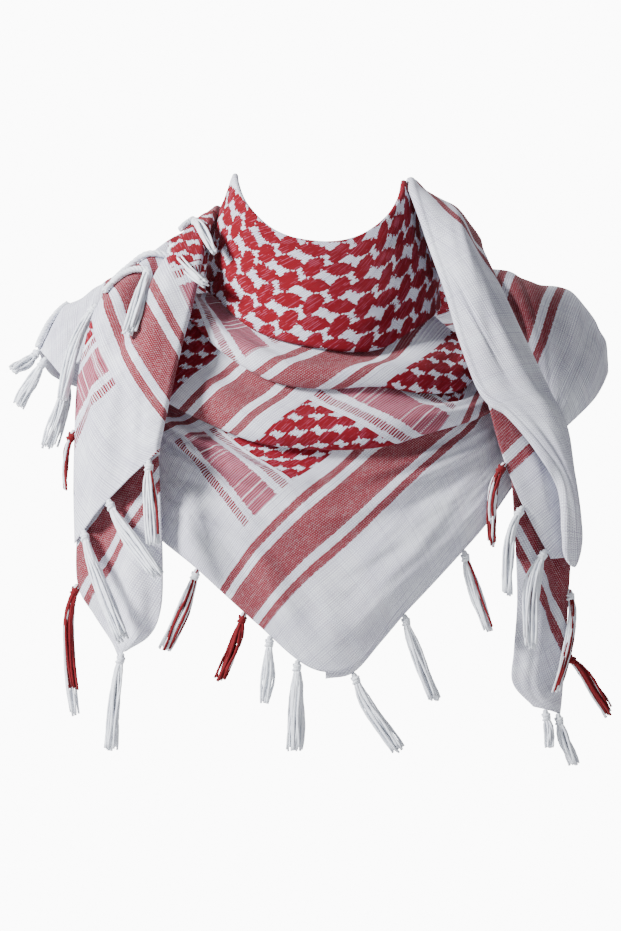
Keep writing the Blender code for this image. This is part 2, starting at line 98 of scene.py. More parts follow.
# A soft ridge along a line between two places of a stretch, or a trough where its height is
# below 0. A place is a key along the stretch and a share of the way across it.
Fold = namedtuple("Fold", "key0 across0 key1 across1 half_width height")
# A stretch: its two edges as curves over the keys, how far it bulges between them and how low
# down, which side is out, and its folded edges, folds and keys.
Band = namedtuple("Band", "first second crown belly side start_edge end_edge folds keys")
# Stations of a stretch: round the neck, hanging from the one above, or laid with both its edges.
Ring = namedtuple("Ring", "angle top_r top_z low_r low_z crown")
Drop = namedtuple("Drop", "angle x y z crown")
Strip = namedtuple("Strip", "key ax ay az bx by bz crown")
Sample = namedtuple("Sample", "key x y z")
# Where a stretch lies on the square: at one point of it, the distances from the selvage and from
# the tasselled edge, and the headings of the warp and the weft on the stretch, in degrees.
# Level 0 measures along the middle, 2 along each line of the stretch, 1 does so level with z = 0.
Lay = namedtuple("Lay", "level key across selvage tasselled warp weft")
# Cloth taken up below the edge above: from which key, over how many, how deep, and how much down
# and along.
Gather = namedtuple("Gather", "key reach depth down along")
# How finely a stretch is woven out, how much soft relief it takes and where that fades.
Drape = namedtuple("Drape", "rows columns relief fade_first fade_second")
# A stretch as cut: its flat width and length in metres and what it lies on.
Cut = namedtuple("Cut", "width length held rests_on")
Tassel = namedtuple(
    "Tassel", "name wall key across end_x end_y end_z spread lift yarns red red_reach"
)

# ---------------------------------------------------------------- the stretches

COLLAR = (
    Ring(-120, 80, 84, 102, 24, 2),
    Ring(-105, 81, 104, 105, 22, 2),
    Ring(-90, 81, 117, 108, 18, 2),
    Ring(-60, 80, 88, 112, 6, 4),
    Ring(-30, 79, 62, 115, -26, 6),
    Ring(0, 78, 53, 117, -41, 8),
    Ring(25, 78, 57, 118, -43, 8),
    Ring(50, 79, 74, 117, -22, 6),
    Ring(75, 80, 98, 114, -6, 4),
    Ring(90, 80, 111, 112, 0, 3),
    Ring(105, 80, 99, 109, 6, 2),
    Ring(120, 79, 80, 106, 12, 2),
)

NAPE_WRAP = (
    Ring(97, 91, 112.5, 128, 58, 4),
    Ring(118, 92, 96, 120, 34, 5),
    Ring(140, 91, 67, 116, 20, 6),
    Ring(165, 88, 50, 114, 12, 6),
    Ring(190, 85, 46, 111, 8, 6),
    Ring(215, 82, 58, 107, 14, 4),
    Ring(239.7, 80, 84, 102, 24, 2),
)

NAPE_CROSS = (
    Ring(128, 118.0, 61, 137, 24, 7),
    Ring(150, 121, 58, 142, 9, 8),
    Ring(175, 119, 48, 144, -6, 8),
    Ring(200, 117, 52, 139, -4, 8),
    Ring(225, 111, 72, 132, 18, 7),
    Ring(250, 104, 88, 127, 44, 6),
    Ring(263, 102, 84, 128, 58, 4),
)

UPPER_SWAG = (
    Drop(-80, -140, -44, 4, 3),
    Drop(-60, -122, -78, -7, 3),
    Drop(-40, -92, -106, -42, 5),
    Drop(-20, -46, -124, -72, 9),
    Drop(0, 2, -130, -80, 9),
    Drop(20, 50, -130, -77, 9),
    Drop(40, 92, -121, -82, 9),
    Drop(60, 126, -103, -80, 8),
    Drop(80, 150, -80, -62, 6),
)

LOWER_SWAG = (
    Drop(-80, -166, -54, -62, 5),
    Drop(-60, -146, -88, -88, 6),
    Drop(-40, -106, -117, -110, 8),
    Drop(-20, -55, -134, -130, 10),
    Drop(0, 4, -141, -136, 10),
    Drop(20, 58, -140, -133, 9),
    Drop(40, 104, -129, -119, 7),
    Drop(60, 138, -112, -108, 4),
    Drop(80, 164, -88, -96, 3),
)

FRONT_POINT = (
    Drop(-80, -172, -72, -176, 4),
    Drop(-60, -152, -100, -214, 5),
    Drop(-40, -113, -124, -247, 6),
    Drop(-20, -58, -139, -297, 7),
    Drop(-4, -8, -144, -338, 7),
    Drop(8, 31, -143, -336, 7),
    Drop(20, 68, -139, -294, 7),
    Drop(40, 116, -128, -243, 6),
    Drop(60, 156, -112, -198, 5),
    Drop(80, 180, -90, -164, 4),
)

# first edge: away from the centre; second edge: towards it
LEFT_PANEL = (
    Strip(0, -127.6, 13.4, 58, -102, 10.4, 84, 5),
    Strip(1, -152, -10, 46, -108, -40, 64, 8),
    Strip(2, -188, -32, 18, -114, -76, 34, 10),
    Strip(3, -207, -50, -6, -121, -103, -2, 12),
    Strip(4, -217, -64, -40, -131, -124, -40, 13),
    Strip(5, -224, -74, -78, -140, -137, -78, 13),
    Strip(6, -226, -79, -120, -147, -144, -110, 12),
    Strip(7, -227, -82, -170, -151, -147, -128, 10),
    Strip(8, -226, -84, -224, -152, -147, -143, 8),
)

LEFT_FLAP = (
    Strip(0, -219, -68, -150, -150, -124, -118, 4),
    Strip(1, -223.9, -82, -212, -146, -126, -186, 6),
    Strip(2, -223, -81.4, -262, -144, -124, -248, 7),
    Strip(3, -208, -82, -290, -146, -120, -284, 6),
    Strip(4, -192, -92, -314, -156, -114, -308, 4),
    Strip(5, -186, -98, -327, -177, -102, -322, 1),
)

LEFT_SHOULDER = (
    Strip(0, -196, -34, -40, -238, -46, -70, 5),
    Strip(1, -152, -14, 22, -257, -22, -48, 10),
    Strip(2, -111, 16, 54, -262, 20, -44, 18),
    Strip(3, -102, 47, 34.6, -248, 72, -70, 22),
    Strip(4, -79, 85, 14, -196, 120, -84, 20),
    Strip(5, -49, 110, -2, -116, 148, -74, 15),
    Strip(6, -10, 122, -9, -36, 158, -56, 10),
    Strip(7, 33, 120, -6, 50, 153, -42, 6),
)

RIGHT_ROLL = (
    Strip(0, 88, 9.4, 114, 127.2, 13.2, 58, 4),
    Strip(1, 92, -28, 98, 147, -14, 60, 10),
    Strip(2, 106, -62, 54, 152, -46, 46, 13),
    Strip(3, 120, -94, 12, 167, -78, 12, 13),
    Strip(4, 134, -116, -37, 189, -97, -37, 13),
    Strip(5, 152, -128, -83, 211, -106, -83, 13),
    Strip(6, 174, -133, -101, 227, -110, -116, 12),
    Strip(7, 203, -131, -133, 234, -110, -158, 9),
    Strip(8, 224, -125, -167, 240, -108, -202, 5),
    Strip(9, 229, -120, -216, 241, -106, -222, 3),
    Strip(10, 226, -115, -244, 237, -106, -246, 2),
)

RIGHT_PANEL = (
    Strip(0, 149, -108, -76, 190, -90, -82, 3),
    Strip(1, 157, -112, -105, 206, -88, -110, 4),
    Strip(2, 165, -114, -135, 221, -88, -140, 5),
    Strip(3, 176, -118, -166, 229, -97, -170, 5),
    Strip(4, 191, -115, -199, 229, -97, -203, 4),
    Strip(5, 212.2, -110.1, -238, 227.1, -99.1, -237, 1),
)

RIGHT_FLAP = (
    Strip(0, 172, -103, -130, 226, -78.2, -132, 4),
    Strip(1, 176, -106, -166, 230, -79, -170, 5),
    Strip(2, 179, -107, -216, 232, -82, -220, 6),
    Strip(3, 181, -106, -276, 229, -86, -272, 6),
    Strip(4, 178, -108, -322, 226, -92, -322, 6),
    Strip(5, 177, -108, -352, 223, -96, -362, 5),
    Strip(6, 196, -106, -374, 221, -99, -381, 2),
)

RIGHT_SHOULDER = (
    Strip(0, 200, -76, -76, 226, -80, -118, 5),
    Strip(1, 176, -56, -16, 254, -56, -90, 16),
    Strip(2, 150, -26, 24, 267, -20, -66, 26),
    Strip(3, 127.6, 16, 50.6, 262, 20, -70, 36),
    Strip(4, 112, 54, 32.8, 240, 78, -84, 28),
    Strip(5, 84, 82, 14, 186, 124, -86, 20),
    Strip(6, 50, 104.5, 8.5, 112, 147, -70, 13),
    Strip(7, 20, 110, 2, 36, 143, -56, 7),
)

FOLDS = {
    "collar_wrap": (
        Fold(-100, 0.75, -20, 0.62, 7, 1.6),
        Fold(20, 0.62, 100, 0.8, 8, 1.8),
        Fold(30, 0.2, 95, 0.35, 7, -1.6),
    ),
    "upper_swag": (
        Fold(-70, 0.45, 0, 0.6, 7, 2.4),
        Fold(10, 0.7, 75, 0.5, 8, 2.6),
    ),
    "lower_swag": (
        Fold(-78, 0.5, -25, 0.55, 8, 3.0),
        Fold(15, 0.55, 78, 0.5, 8, 2.8),
    ),
    "front_point": (
        Fold(-70, 0.3, -8, 0.2, 10, 5.0),
        Fold(-78, 0.62, -30, 0.42, 10, -4.0),
        Fold(12, 0.3, 76, 0.36, 11, 5.0),
        Fold(5, 0.42, 60, 0.5, 16, -3.5),
        Fold(-25, 0.55, -6, 0.9, 14, 3.0),
    ),
    "left_panel": (
        Fold(0.6, 0.42, 3.9, 0.4, 15, -20.0),
        Fold(1.2, 0.8, 5.5, 0.78, 13, 5.0),
        Fold(4.2, 0.3, 7.6, 0.42, 14, 4.0),
        Fold(5.0, 0.65, 7.8, 0.7, 12, -4.0),
    ),
    "left_flap": (
        Fold(0.2, 0.35, 3.4, 0.45, 13, -8.0),
        Fold(0.6, 0.72, 4.2, 0.66, 11, 5.0),
    ),
    "left_shoulder": (
        Fold(0.6, 0.55, 4.5, 0.4, 15, 5.0),
        Fold(1.5, 0.2, 6.0, 0.25, 12, -5.0),
        Fold(3.0, 0.75, 6.5, 0.6, 13, 4.5),
    ),
    "right_roll": (
        Fold(1.2, 0.75, 3.2, 0.85, 9, -4.0),
        Fold(2.8, 0.45, 5.6, 0.3, 8, -3.0),
        Fold(4.4, 0.7, 7.0, 0.6, 10, 3.0),
    ),
    "right_panel": (Fold(0.8, 0.4, 4.2, 0.5, 11, 3.5),),
    "right_flap": (
        Fold(0.8, 0.35, 4.8, 0.3, 10, 4.0),
        Fold(0.5, 0.7, 5.2, 0.68, 10, -5.0),
    ),
    "right_shoulder": (
        Fold(0.8, 0.18, 2.9, 0.2, 9, -7.0),
        Fold(1.0, 0.62, 4.8, 0.5, 16, 5.0),
        Fold(2.4, 0.42, 6.3, 0.3, 12, -5.0),
        Fold(3.5, 0.8, 6.6, 0.62, 13, 4.0),
    ),
    "nape_wrap": (
        Fold(110, 0.4, 215, 0.45, 8, 2.5),
        Fold(118, 0.65, 205, 0.72, 8, -2.5),
    ),
    "nape_cross": (
        Fold(140, 0.35, 250, 0.4, 8, 3.5),
        Fold(148, 0.62, 240, 0.68, 8, -3.5),
    ),
}

# Finer soft creases over the main folds.
CREASES = {
    "collar_wrap": (
        Fold(-60, 0.3, -22, 0.16, 4, 0.7),
        Fold(-52, 0.5, -8, 0.4, 5, -0.7),
        Fold(8, 0.84, 44, 0.72, 4, 0.7),
        Fold(40, 0.48, 84, 0.6, 5, 0.8),
        Fold(52, 0.1, 104, 0.22, 4, 0.9),
        Fold(58, 0.74, 114, 0.7, 13, 5.0),
        Fold(-112, 0.2, -64, 0.44, 5, 1.2),
        Fold(-98, 0.6, -50, 0.8, 5, -1.2),
    ),
    "upper_swag": (
        Fold(-60, 0.72, -20, 0.74, 4, 1.0),
        Fold(-12, 0.36, 22, 0.4, 5, -1.0),
        Fold(24, 0.4, 74, 0.34, 5, 1.1),
        Fold(40, 0.66, 78, 0.72, 4, -1.0),
        Fold(-78, 0.35, -38, 0.5, 6, -3.0),
        Fold(-44, 0.24, 6, 0.3, 6, 1.8),
    ),
    "lower_swag": (
        Fold(-76, 0.72, -44, 0.78, 4, 1.2),
        Fold(-20, 0.55, 18, 0.6, 5, 1.1),
        Fold(34, 0.4, 76, 0.34, 5, -1.1),
        Fold(-80, 0.3, -46, 0.5, 7, -3.5),
        Fold(-40, 0.3, 8, 0.26, 6, -1.6),
        Fold(26, 0.72, 70, 0.82, 6, 2.0),
    ),
    "front_point": (
        Fold(-74, 0.46, -42, 0.34, 6, 2.0),
        Fold(-50, 0.7, -20, 0.62, 8, 1.6),
        Fold(-14, 0.36, 16, 0.3, 8, 1.6),
        Fold(10, 0.6, 34, 0.72, 9, -1.4),
        Fold(40, 0.24, 78, 0.2, 6, 1.8),
        Fold(-2, 0.55, 4, 0.95, 10, 1.4),
        Fold(-78, 0.17, -6, 0.17, 7, 8.0),
        Fold(-76, 0.36, -10, 0.29, 7, -4.5),
        Fold(12, 0.16, 78, 0.22, 7, 3.4),
        Fold(14, 0.3, 70, 0.42, 8, -3.0),
        Fold(-44, 0.62, -30, 0.94, 7, -2.2),
        Fold(22, 0.5, 42, 0.94, 9, 2.0),
    ),
    "left_panel": (
        Fold(4.2, 0.55, 7.6, 0.5, 7, 1.6),
        Fold(2.2, 0.14, 5.2, 0.2, 6, 1.5),
        Fold(5.8, 0.16, 7.8, 0.24, 6, -1.4),
        Fold(0.9, 0.3, 4.6, 0.5, 6, -3.0),
        Fold(1.4, 0.62, 5.0, 0.66, 6, 2.6),
        Fold(3.0, 0.3, 6.6, 0.3, 7, 2.4),
        Fold(4.6, 0.8, 7.6, 0.86, 5, -1.8),
    ),
    "left_flap": (
        Fold(1.0, 0.16, 3.2, 0.24, 6, 1.4),
        Fold(1.6, 0.5, 4.4, 0.55, 6, -1.3),
        Fold(0.6, 0.26, 3.4, 0.4, 5, -3.0),
        Fold(1.8, 0.8, 4.6, 0.76, 5, 1.8),
    ),
    "left_shoulder": (
        Fold(0.8, 0.34, 3.2, 0.22, 7, 1.8),
        Fold(1.4, 0.78, 3.6, 0.66, 8, 1.8),
        Fold(3.6, 0.48, 6.4, 0.44, 7, -1.8),
        Fold(4.2, 0.86, 6.2, 0.8, 6, 1.6),
        Fold(0.5, 0.6, 2.4, 0.5, 6, -2.6),
        Fold(0.9, 0.2, 2.6, 0.3, 6, 2.4),
    ),
    "right_roll": (
        Fold(3.0, 0.62, 4.6, 0.74, 5, -1.0),
        Fold(5.2, 0.5, 7.4, 0.36, 6, 1.0),
        Fold(1.4, 0.3, 2.8, 0.2, 5, 0.9),
        Fold(2.6, 0.08, 4.7, 0.36, 1.8, -1.5),
        Fold(0.8, 0.5, 3.6, 0.4, 6, 1.8),
        Fold(3.4, 0.8, 6.2, 0.9, 5, -2.2),
        Fold(5.6, 0.2, 8.6, 0.4, 5, -1.6),
    ),
    "right_panel": (Fold(1.2, 0.7, 4.0, 0.74, 6, -1.2),),
    "right_flap": (
        Fold(1.4, 0.5, 5.0, 0.5, 6, 1.4),
        Fold(2.6, 0.14, 5.4, 0.16, 5, -1.2),
        Fold(0.8, 0.75, 4.6, 0.8, 5, 2.2),
        Fold(2.0, 0.36, 5.6, 0.34, 5, -2.0),
    ),
    "right_shoulder": (
        Fold(1.6, 0.78, 4.0, 0.72, 8, 1.8),
        Fold(2.0, 0.3, 4.8, 0.16, 7, 1.6),
        Fold(4.4, 0.56, 6.6, 0.46, 7, -1.6),
        Fold(0.6, 0.5, 2.2, 0.44, 7, 1.4),
        Fold(0.6, 0.68, 2.8, 0.74, 6, -2.8),
        Fold(0.9, 0.3, 3.2, 0.34, 6, -2.4),
        Fold(1.2, 0.86, 3.6, 0.9, 7, 2.2),
    ),
    "nape_wrap": (
        Fold(124, 0.26, 196, 0.22, 5, 1.2),
        Fold(140, 0.84, 226, 0.86, 5, 1.1),
    ),
    "nape_cross": (
        Fold(152, 0.2, 226, 0.22, 5, 1.4),
        Fold(160, 0.8, 246, 0.84, 5, 1.3),
    ),
}

LAYS = {
    "collar_wrap": Lay(2, -4, 0.1, 610, 549, -38, -142),
    "upper_swag": Lay(1, 6.5, 0.4, 334, 338, -34.8, -130.5),
    "lower_swag": Lay(1, -6, 0.25, 286, 243, -43, -148),
    "front_point": Lay(1, -6, 0.44, 120, 97, -41.3, -131.3),
    "under_layer": Lay(1, 40, 0.5, 8, 60, -48, -138),
    "left_panel": Lay(0, 5, 0.53, 286, 60, -139.5, 130.5),
    "left_flap": Lay(0, 2.4, 0.14, 91, 50, 134.7, -135.3),
    "left_shoulder": Lay(0, 2.5, 0.85, 30, 420, 8, -82),
    "right_roll": Lay(0, 5, 0.3, 24, 60, 193, 103),
    "right_panel": Lay(0, 1.02, 0.37, 123, 14, 126.9, -143.1),
    "right_flap": Lay(0, 1.75, 0.32, 123, 60, -149.8, 120.2),
    "right_shoulder": Lay(0, 1.5, 0.44, 91, 280, 14, -76),
    "nape_wrap": Lay(0, 168, 0.5, 500, 520, -40, -140),
    "nape_cross": Lay(0, 250, 0.2, 123, 460, 168, 78),
}

DRAPES = {
    "collar_wrap": Drape(170, 52, 0.7, 6, 6),
    "upper_swag": Drape(140, 40, 0.9, 14, 4),
    "lower_swag": Drape(140, 40, 1.0, 14, 4),
    "front_point": Drape(150, 90, 1.8, 16, 6),
    "under_layer": Drape(70, 14, 0.15, 4, 4),
    "left_panel": Drape(140, 62, 1.5, 10, 6),
    "left_flap": Drape(90, 44, 1.4, 8, 6),
    "left_shoulder": Drape(140, 80, 2.0, 12, 8),
    "right_roll": Drape(170, 56, 1.1, 6, 6),
    "right_panel": Drape(80, 34, 0.8, 6, 6),
    "right_flap": Drape(110, 40, 1.2, 6, 6),
    "right_shoulder": Drape(140, 84, 2.0, 12, 8),
    "nape_wrap": Drape(90, 46, 0.5, 8, 8),
    "nape_cross": Drape(90, 46, 0.6, 8, 8),
}

# Rows at the collar's left end that show its turned, undyed hem.
HEM_ROWS = 32

# The last share of a stretch that draws in to a rounded end.
ROUNDED = {"right_roll": 0.07}

GATHERS = {
    "front_point": Gather(16, -36, 24, 28, 0),
    "upper_swag": Gather(14, 34, 26, 0, 24),
    "lower_swag": Gather(40, 44, 300, 0, 26),
    "right_roll": Gather(2.7, -1.9, 300, -30, 0),
}

CUTS = {
    "collar_wrap": Cut(0.135, 0.46, "folded", ()),
    "upper_swag": Cut(0.075, 0.313, "hung", ("collar_wrap",)),
    "lower_swag": Cut(0.085, 0.342, "hung", ("upper_swag",)),
    "front_point": Cut(0.16, 0.375, "hung", ("lower_swag",)),
    "under_layer": Cut(0.034, 0.2, "hung", ("front_point",)),
    "left_panel": Cut(0.128, 0.315, "draped", ("collar_wrap",)),
    "left_flap": Cut(0.083, 0.2, "hung", ("left_panel",)),
    "left_shoulder": Cut(0.128, 0.39, "draped", ("nape_cross",)),
    "right_roll": Cut(0.1, 0.43, "folded", ("collar_wrap",)),
    "right_panel": Cut(0.05, 0.166, "hung", ("right_roll",)),
    "right_flap": Cut(0.055, 0.258, "hung", ("right_roll",)),
    "right_shoulder": Cut(0.142, 0.392, "draped", ("nape_cross",)),
    "nape_wrap": Cut(0.105, 0.256, "folded", ("collar_wrap",)),
    "nape_cross": Cut(0.1, 0.284, "folded", ("nape_wrap",)),
}

TASSELS = (
    Tassel("tassel_shoulder_a", "left_shoulder", 1.25, 1, -285, -28, -64, 5, 0, 16, 0, 1),
    Tassel("tassel_shoulder_b", "left_shoulder", 0.75, 1, -279, -34, -98, 6, 0, 16, 0, 1),
    Tassel("tassel_shoulder_c", "left_shoulder", 0, 0.9, -251, -56, -136, 9, 0, 18, 0, 1),
    Tassel("tassel_left_a", "left_panel", 2.9, 0, -238, -82, -92, 6, 0, 20, 0, 1),
    Tassel("tassel_left_b", "left_panel", 1.8, 0.3, -177, -120, -31, 6, 14, 18, 0, 1),
    Tassel("tassel_left_c", "left_panel", 1.25, 0.55, -106, -100, 16, 4, 4, 16, 0, 1),
    Tassel("tassel_left_d", "left_panel", 0.5, 0.75, -97, -74, 44, 3, 1, 12, 0, 1),
    Tassel("tassel_left_e", "left_panel", 6.0, 0, -235, -86, -175, 2, 0, 6, 0.9, 1),
    Tassel("tassel_left_f", "left_panel", 8, 0.95, -152, -166, -225, 8, 0, 18, 0.3, 0.9),
    Tassel("tassel_left_g", "left_panel", 8, 0.5, -148, -160, -253, 7, 0, 18, 0, 1),
    Tassel("tassel_left_h", "left_panel", 8, 0.15, -180, -160, -312, 7, 0, 18, 0, 1),
    Tassel("tassel_flap_a", "left_flap", 2.0, 0, -226, -80, -384, 6, 0, 18, 0.65, 0.78),
    Tassel("tassel_flap_b", "left_flap", 5, 0.5, -193, -104, -414, 7, 0, 18, 0, 1),
    Tassel("tassel_point_a", "front_point", -40, 1, -142, -124, -322, 6, 0, 18, 0.4, 1),
    Tassel("tassel_point_b", "front_point", -24, 1, -92, -138, -350, 6, 0, 16, 0.85, 1),
    Tassel("tassel_point_c", "front_point", -16, 1, -50, -145, -370, 5, 0, 16, 0, 1),
    Tassel("tassel_point_d", "front_point", -8, 1, -23, -148, -414, 8, 0, 22, 0, 1),
    Tassel("tassel_under_a", "under_layer", 8, 1, 74, -146, -414, 6, 0, 18, 0, 1),
    Tassel("tassel_under_b", "under_layer", 24, 1, 106, -138, -368, 7, 0, 18, 0, 1),
    Tassel("tassel_under_c", "under_layer", 48, 1, 156, -122, -304, 6, 0, 18, 0.25, 1),
    Tassel("tassel_right_a", "right_panel", 2.5, 0, 158, -120, -226, 4, 0, 16, 0.6, 1),
    Tassel("tassel_right_b", "right_panel", 3.75, 0, 172, -128, -271, 5, 0, 18, 0, 1),
    Tassel("tassel_right_c", "right_panel", 4.8, 0, 192, -136, -318, 8, 0, 22, 0.05, 1),
    Tassel("tassel_right_d", "right_flap", 2.9, 1, 217, -128, -359, 4, 0, 16, 0.4, 1),
    Tassel("tassel_right_e", "right_flap", 4.1, 1, 268, -84, -384, 6, 0, 18, 0.85, 0.95),
    Tassel("tassel_right_f", "right_flap", 6, 0.4, 212, -106, -412, 4, 0, 14, 0, 1),
    Tassel("tassel_right_g", "right_flap", 6, 0.9, 235, -100, -428, 5, 0, 14, 0, 1),
)

# Plied cords that run over the cloth to a tassel: places on the tassel's own stretch, as keys
# and shares of the way across.
LEADS = {
    "tassel_left_c": ((2.05, 0.0), (1.75, 0.04), (1.5, 0.14), (1.35, 0.3), (1.25, 0.55)),
    "tassel_left_b": ((2.6, 0.06), (2.3, 0.08), (2.05, 0.14), (1.9, 0.22), (1.8, 0.3)),
    "tassel_left_d": ((0.9, 0.62), (0.7, 0.66), (0.5, 0.75)),
    "tassel_shoulder_a": ((1.95, 0.74), (1.7, 0.82), (1.45, 0.91), (1.25, 0.99)),
}


# ---------------------------------------------------------------- curves

def through(table, columns):
    """A smooth curve through named columns of a table, as a function of its first column."""
    keys = [row[0] for row in table]
    points = [[getattr(row, name) for name in columns] for row in table]

    def slope(i, c):
        low, high = max(i - 1, 0), min(i + 1, len(keys) - 1)
        return (points[high][c] - points[low][c]) / (keys[high] - keys[low])

    slopes = [[slope(i, c) for c in range(len(columns))] for i in range(len(keys))]

    def at(key):
        i = max(k for k in range(len(keys) - 1) if key >= keys[k] or k == 0)
        span = keys[i + 1] - keys[i]
        t = (key - keys[i]) / span
        blend = (2 * t**3 - 3 * t**2 + 1, t**3 - 2 * t**2 + t, 3 * t**2 - 2 * t**3, t**3 - t**2)
        return [
            blend[0] * points[i][c] + blend[1] * span * slopes[i][c]
            + blend[2] * points[i + 1][c] + blend[3] * span * slopes[i + 1][c]
            for c in range(len(columns))
        ]

    return at


def ring_edge(table, radius, height):
    """The edge of a ring table as a function of the angle; 0 degrees is the front."""
    read = through(table, (radius, height))

    def at(angle):
        r, z = read(angle)
        turn = math.radians(angle)
        return Vector((r * math.sin(turn), -r * math.cos(turn), z))

    return at


def point_edge(table, columns):
    read = through(table, columns)
    return lambda key: Vector(read(key))


def number(table, column):
    read = through(table, (column,))
    return lambda key: read(key)[0]


def sampled(curve, keys):
    return point_edge([Sample(key, *curve(key)) for key in keys], ("x", "y", "z"))


def stations(start, end, count):
    return [start + (end - start) * i / count for i in range(count + 1)]


def smooth(value):
    t = min(max(value, 0.0), 1.0)
    return t * t * (3 - 2 * t)


# ---------------------------------------------------------------- the cloth's form

LOOK_STEP = 0.01  # share of a stretch's run and width over which its directions are taken
FOLD_FADE = 3.2  # half widths from its line within which a fold is counted
FOLD_START, FOLD_RUN = 0.08, 0.84  # how much of a fold's full rise and fall its line covers
# How steeply the face above has to fall for the next stretch to start behind its fold.
FLAT, STEEP_RUN = 0.45, 0.3


def facing(band, key):
    """Unit vector out of the band's chord at a station."""
    step = LOOK_STEP * (band.keys[-1] - band.keys[0])
    before = (band.first(key - step) + band.second(key - step)) / 2
    after = (band.first(key + step) + band.second(key + step)) / 2
    chord = band.second(key) - band.first(key)
    return chord.cross(after - before).normalized() * band.side


def fold_lines(band):
    """What one key and the whole width of a band measure, laid flat; folds run straight there."""
    middle = (band.keys[0] + band.keys[-1]) / 2
    width = (band.second(middle) - band.first(middle)).length
    ends = [(band.first(k) + band.second(k)) / 2 for k in (band.keys[0], middle, band.keys[-1])]
    run = (ends[1] - ends[0]).length + (ends[2] - ends[1]).length
    return run / abs(band.keys[-1] - band.keys[0]), width


def fold_height(folds, scale, key, across):
    """Sum of the soft ridges and troughs, each along a straight line over the band."""
    per_key, width = scale
    total = 0.0
    for f in folds:
        dx, dy = (f.key1 - f.key0) * per_key, (f.across1 - f.across0) * width
        px, py = (key - f.key0) * per_key, (across - f.across0) * width
        along = (px * dx + py * dy) / (dx * dx + dy * dy)
        t = min(max(along, 0.0), 1.0)
        away = math.hypot(px - t * dx, py - t * dy)
        if away < FOLD_FADE * f.half_width:
            ridge = math.exp(-((away / f.half_width) ** 2))
            total += f.height * math.sin(math.pi * (FOLD_START + FOLD_RUN * t)) * ridge
    return total


def section(band, scale, key):
    """One station of the band as a function of how far across it is."""
    first, second = band.first(key), band.second(key)
    out, crown = facing(band, key), band.crown(key)
    deepest = band.belly / (band.belly + 1)
    top = deepest**band.belly * (1 - deepest)

    def at(across):
        bulge = abs(across) ** band.belly * (1 - across) / top
        return first.lerp(second, across) + out * (
            crown * bulge + fold_height(band.folds, scale, key, across)
        )

    return at


def face(band, key, across):
    return section(band, fold_lines(band), key)(across)


def frame_at(band, key, across):
    """Point, unit vector across and unit normal of the band's face."""
    scale = fold_lines(band)
    here = section(band, scale, key)
    tangent = (here(across + LOOK_STEP) - here(across - LOOK_STEP)).normalized()
    key_step = LOOK_STEP * (band.keys[-1] - band.keys[0])
    ahead, back = (section(band, scale, key + s)(across) for s in (key_step, -key_step))
    return here(across), tangent, tangent.cross(ahead - back).normalized() * band.side


def turned_edge(band, key, across, edge, turns=TURN_STEPS, tucks=2):
    """Points from a band's edge round its turn and back along the face: nearest the edge first."""
    if not edge.radius:
        return []
    point, tangent, normal = frame_at(band, key, across)
    out = tangent * (1 if across > 0.5 else -1)
    width = (band.second(key) - band.first(key)).length
    radius = min(edge.radius, width * EDGE_SHARE)
    tuck = min(edge.tuck, width * TUCK_SHARE)
    points = []
    for i in range(1, turns + 1):
        turn = math.pi * i / turns
        points.append(
            point + out * radius * math.sin(turn)
            + normal * edge.turn * radius * (1 - math.cos(turn))
        )
    for i in range(1, tucks + 1 if edge.tuck else 0):
        back = tuck * i / tucks / width
        point, _, normal = frame_at(band, key, across - back if across > 0.5 else across + back)
        points.append(point + normal * edge.turn * 2 * radius)
    return points


def ring_band(table, keys, start_edge, end_edge, folds):
    return Band(
        ring_edge(table, "top_r", "top_z"), ring_edge(table, "low_r", "low_z"),
        number(table, "crown"), 1, 1, start_edge, end_edge, folds, keys,
    )


def strip_band(table, start_edge, end_edge, folds, side, belly=1):
    return Band(
        point_edge(table, ("ax", "ay", "az")), point_edge(table, ("bx", "by", "bz")),
        number(table, "crown"), belly, side, start_edge, end_edge, folds,
        [table[0].key, table[-1].key],
    )


def hanging_band(upper, table, keys, end_edge, folds):
    """A stretch that starts behind the one above it and passes just under its rolled edge."""
    low = point_edge(table, ("x", "y", "z"))

    def first(key):
        roll = turned_edge(upper, key, 1.0, upper.end_edge)[:2]
        down = (low(key) - roll[1]).normalized()
        edge, tangent, normal = frame_at(upper, key, 1.0)
        inward = -(normal - down * normal.dot(down)).normalized()
        lowest = max(roll, key=inward.dot)
        gap = REST_GAP + SIDE_GAP * (key / FRONT_REACH) ** 2
        behind = lowest + inward * gap - down * (down.dot(lowest - roll[1]) + HIDDEN_REACH)
        radius = upper.end_edge.radius
        beyond = edge + tangent * (radius + REST_GAP) - normal * 2 * radius
        steep = min(max((-tangent.z - FLAT) / STEEP_RUN, 0.0), 1.0)
        return beyond.lerp(behind, steep)

    return Band(
        sampled(first, keys), low, number(table, "crown"), 3, 1, HEM, end_edge, folds, keys
    )


def under_layer(point):
    """The second layer of the folded square, below the front point and a little to its right."""
    peek, rise, behind = 7.0, 26.0, WALL + 1.0
    keys = stations(0, FRONT_REACH, round(FRONT_REACH / STEP_ANGLE))

    def second(key):
        edge, tangent, normal = frame_at(point, key, 1.0)
        return edge + tangent * peek - normal * behind

    def first(key):
        width = (point.second(key) - point.first(key)).length
        edge, _, normal = frame_at(point, key, 1.0 - rise / width)
        return edge - normal * behind

    return Band(
        sampled(first, keys), sampled(second, keys), lambda key: 0.0, 1, 1, HEM, HEM, (), keys
    )


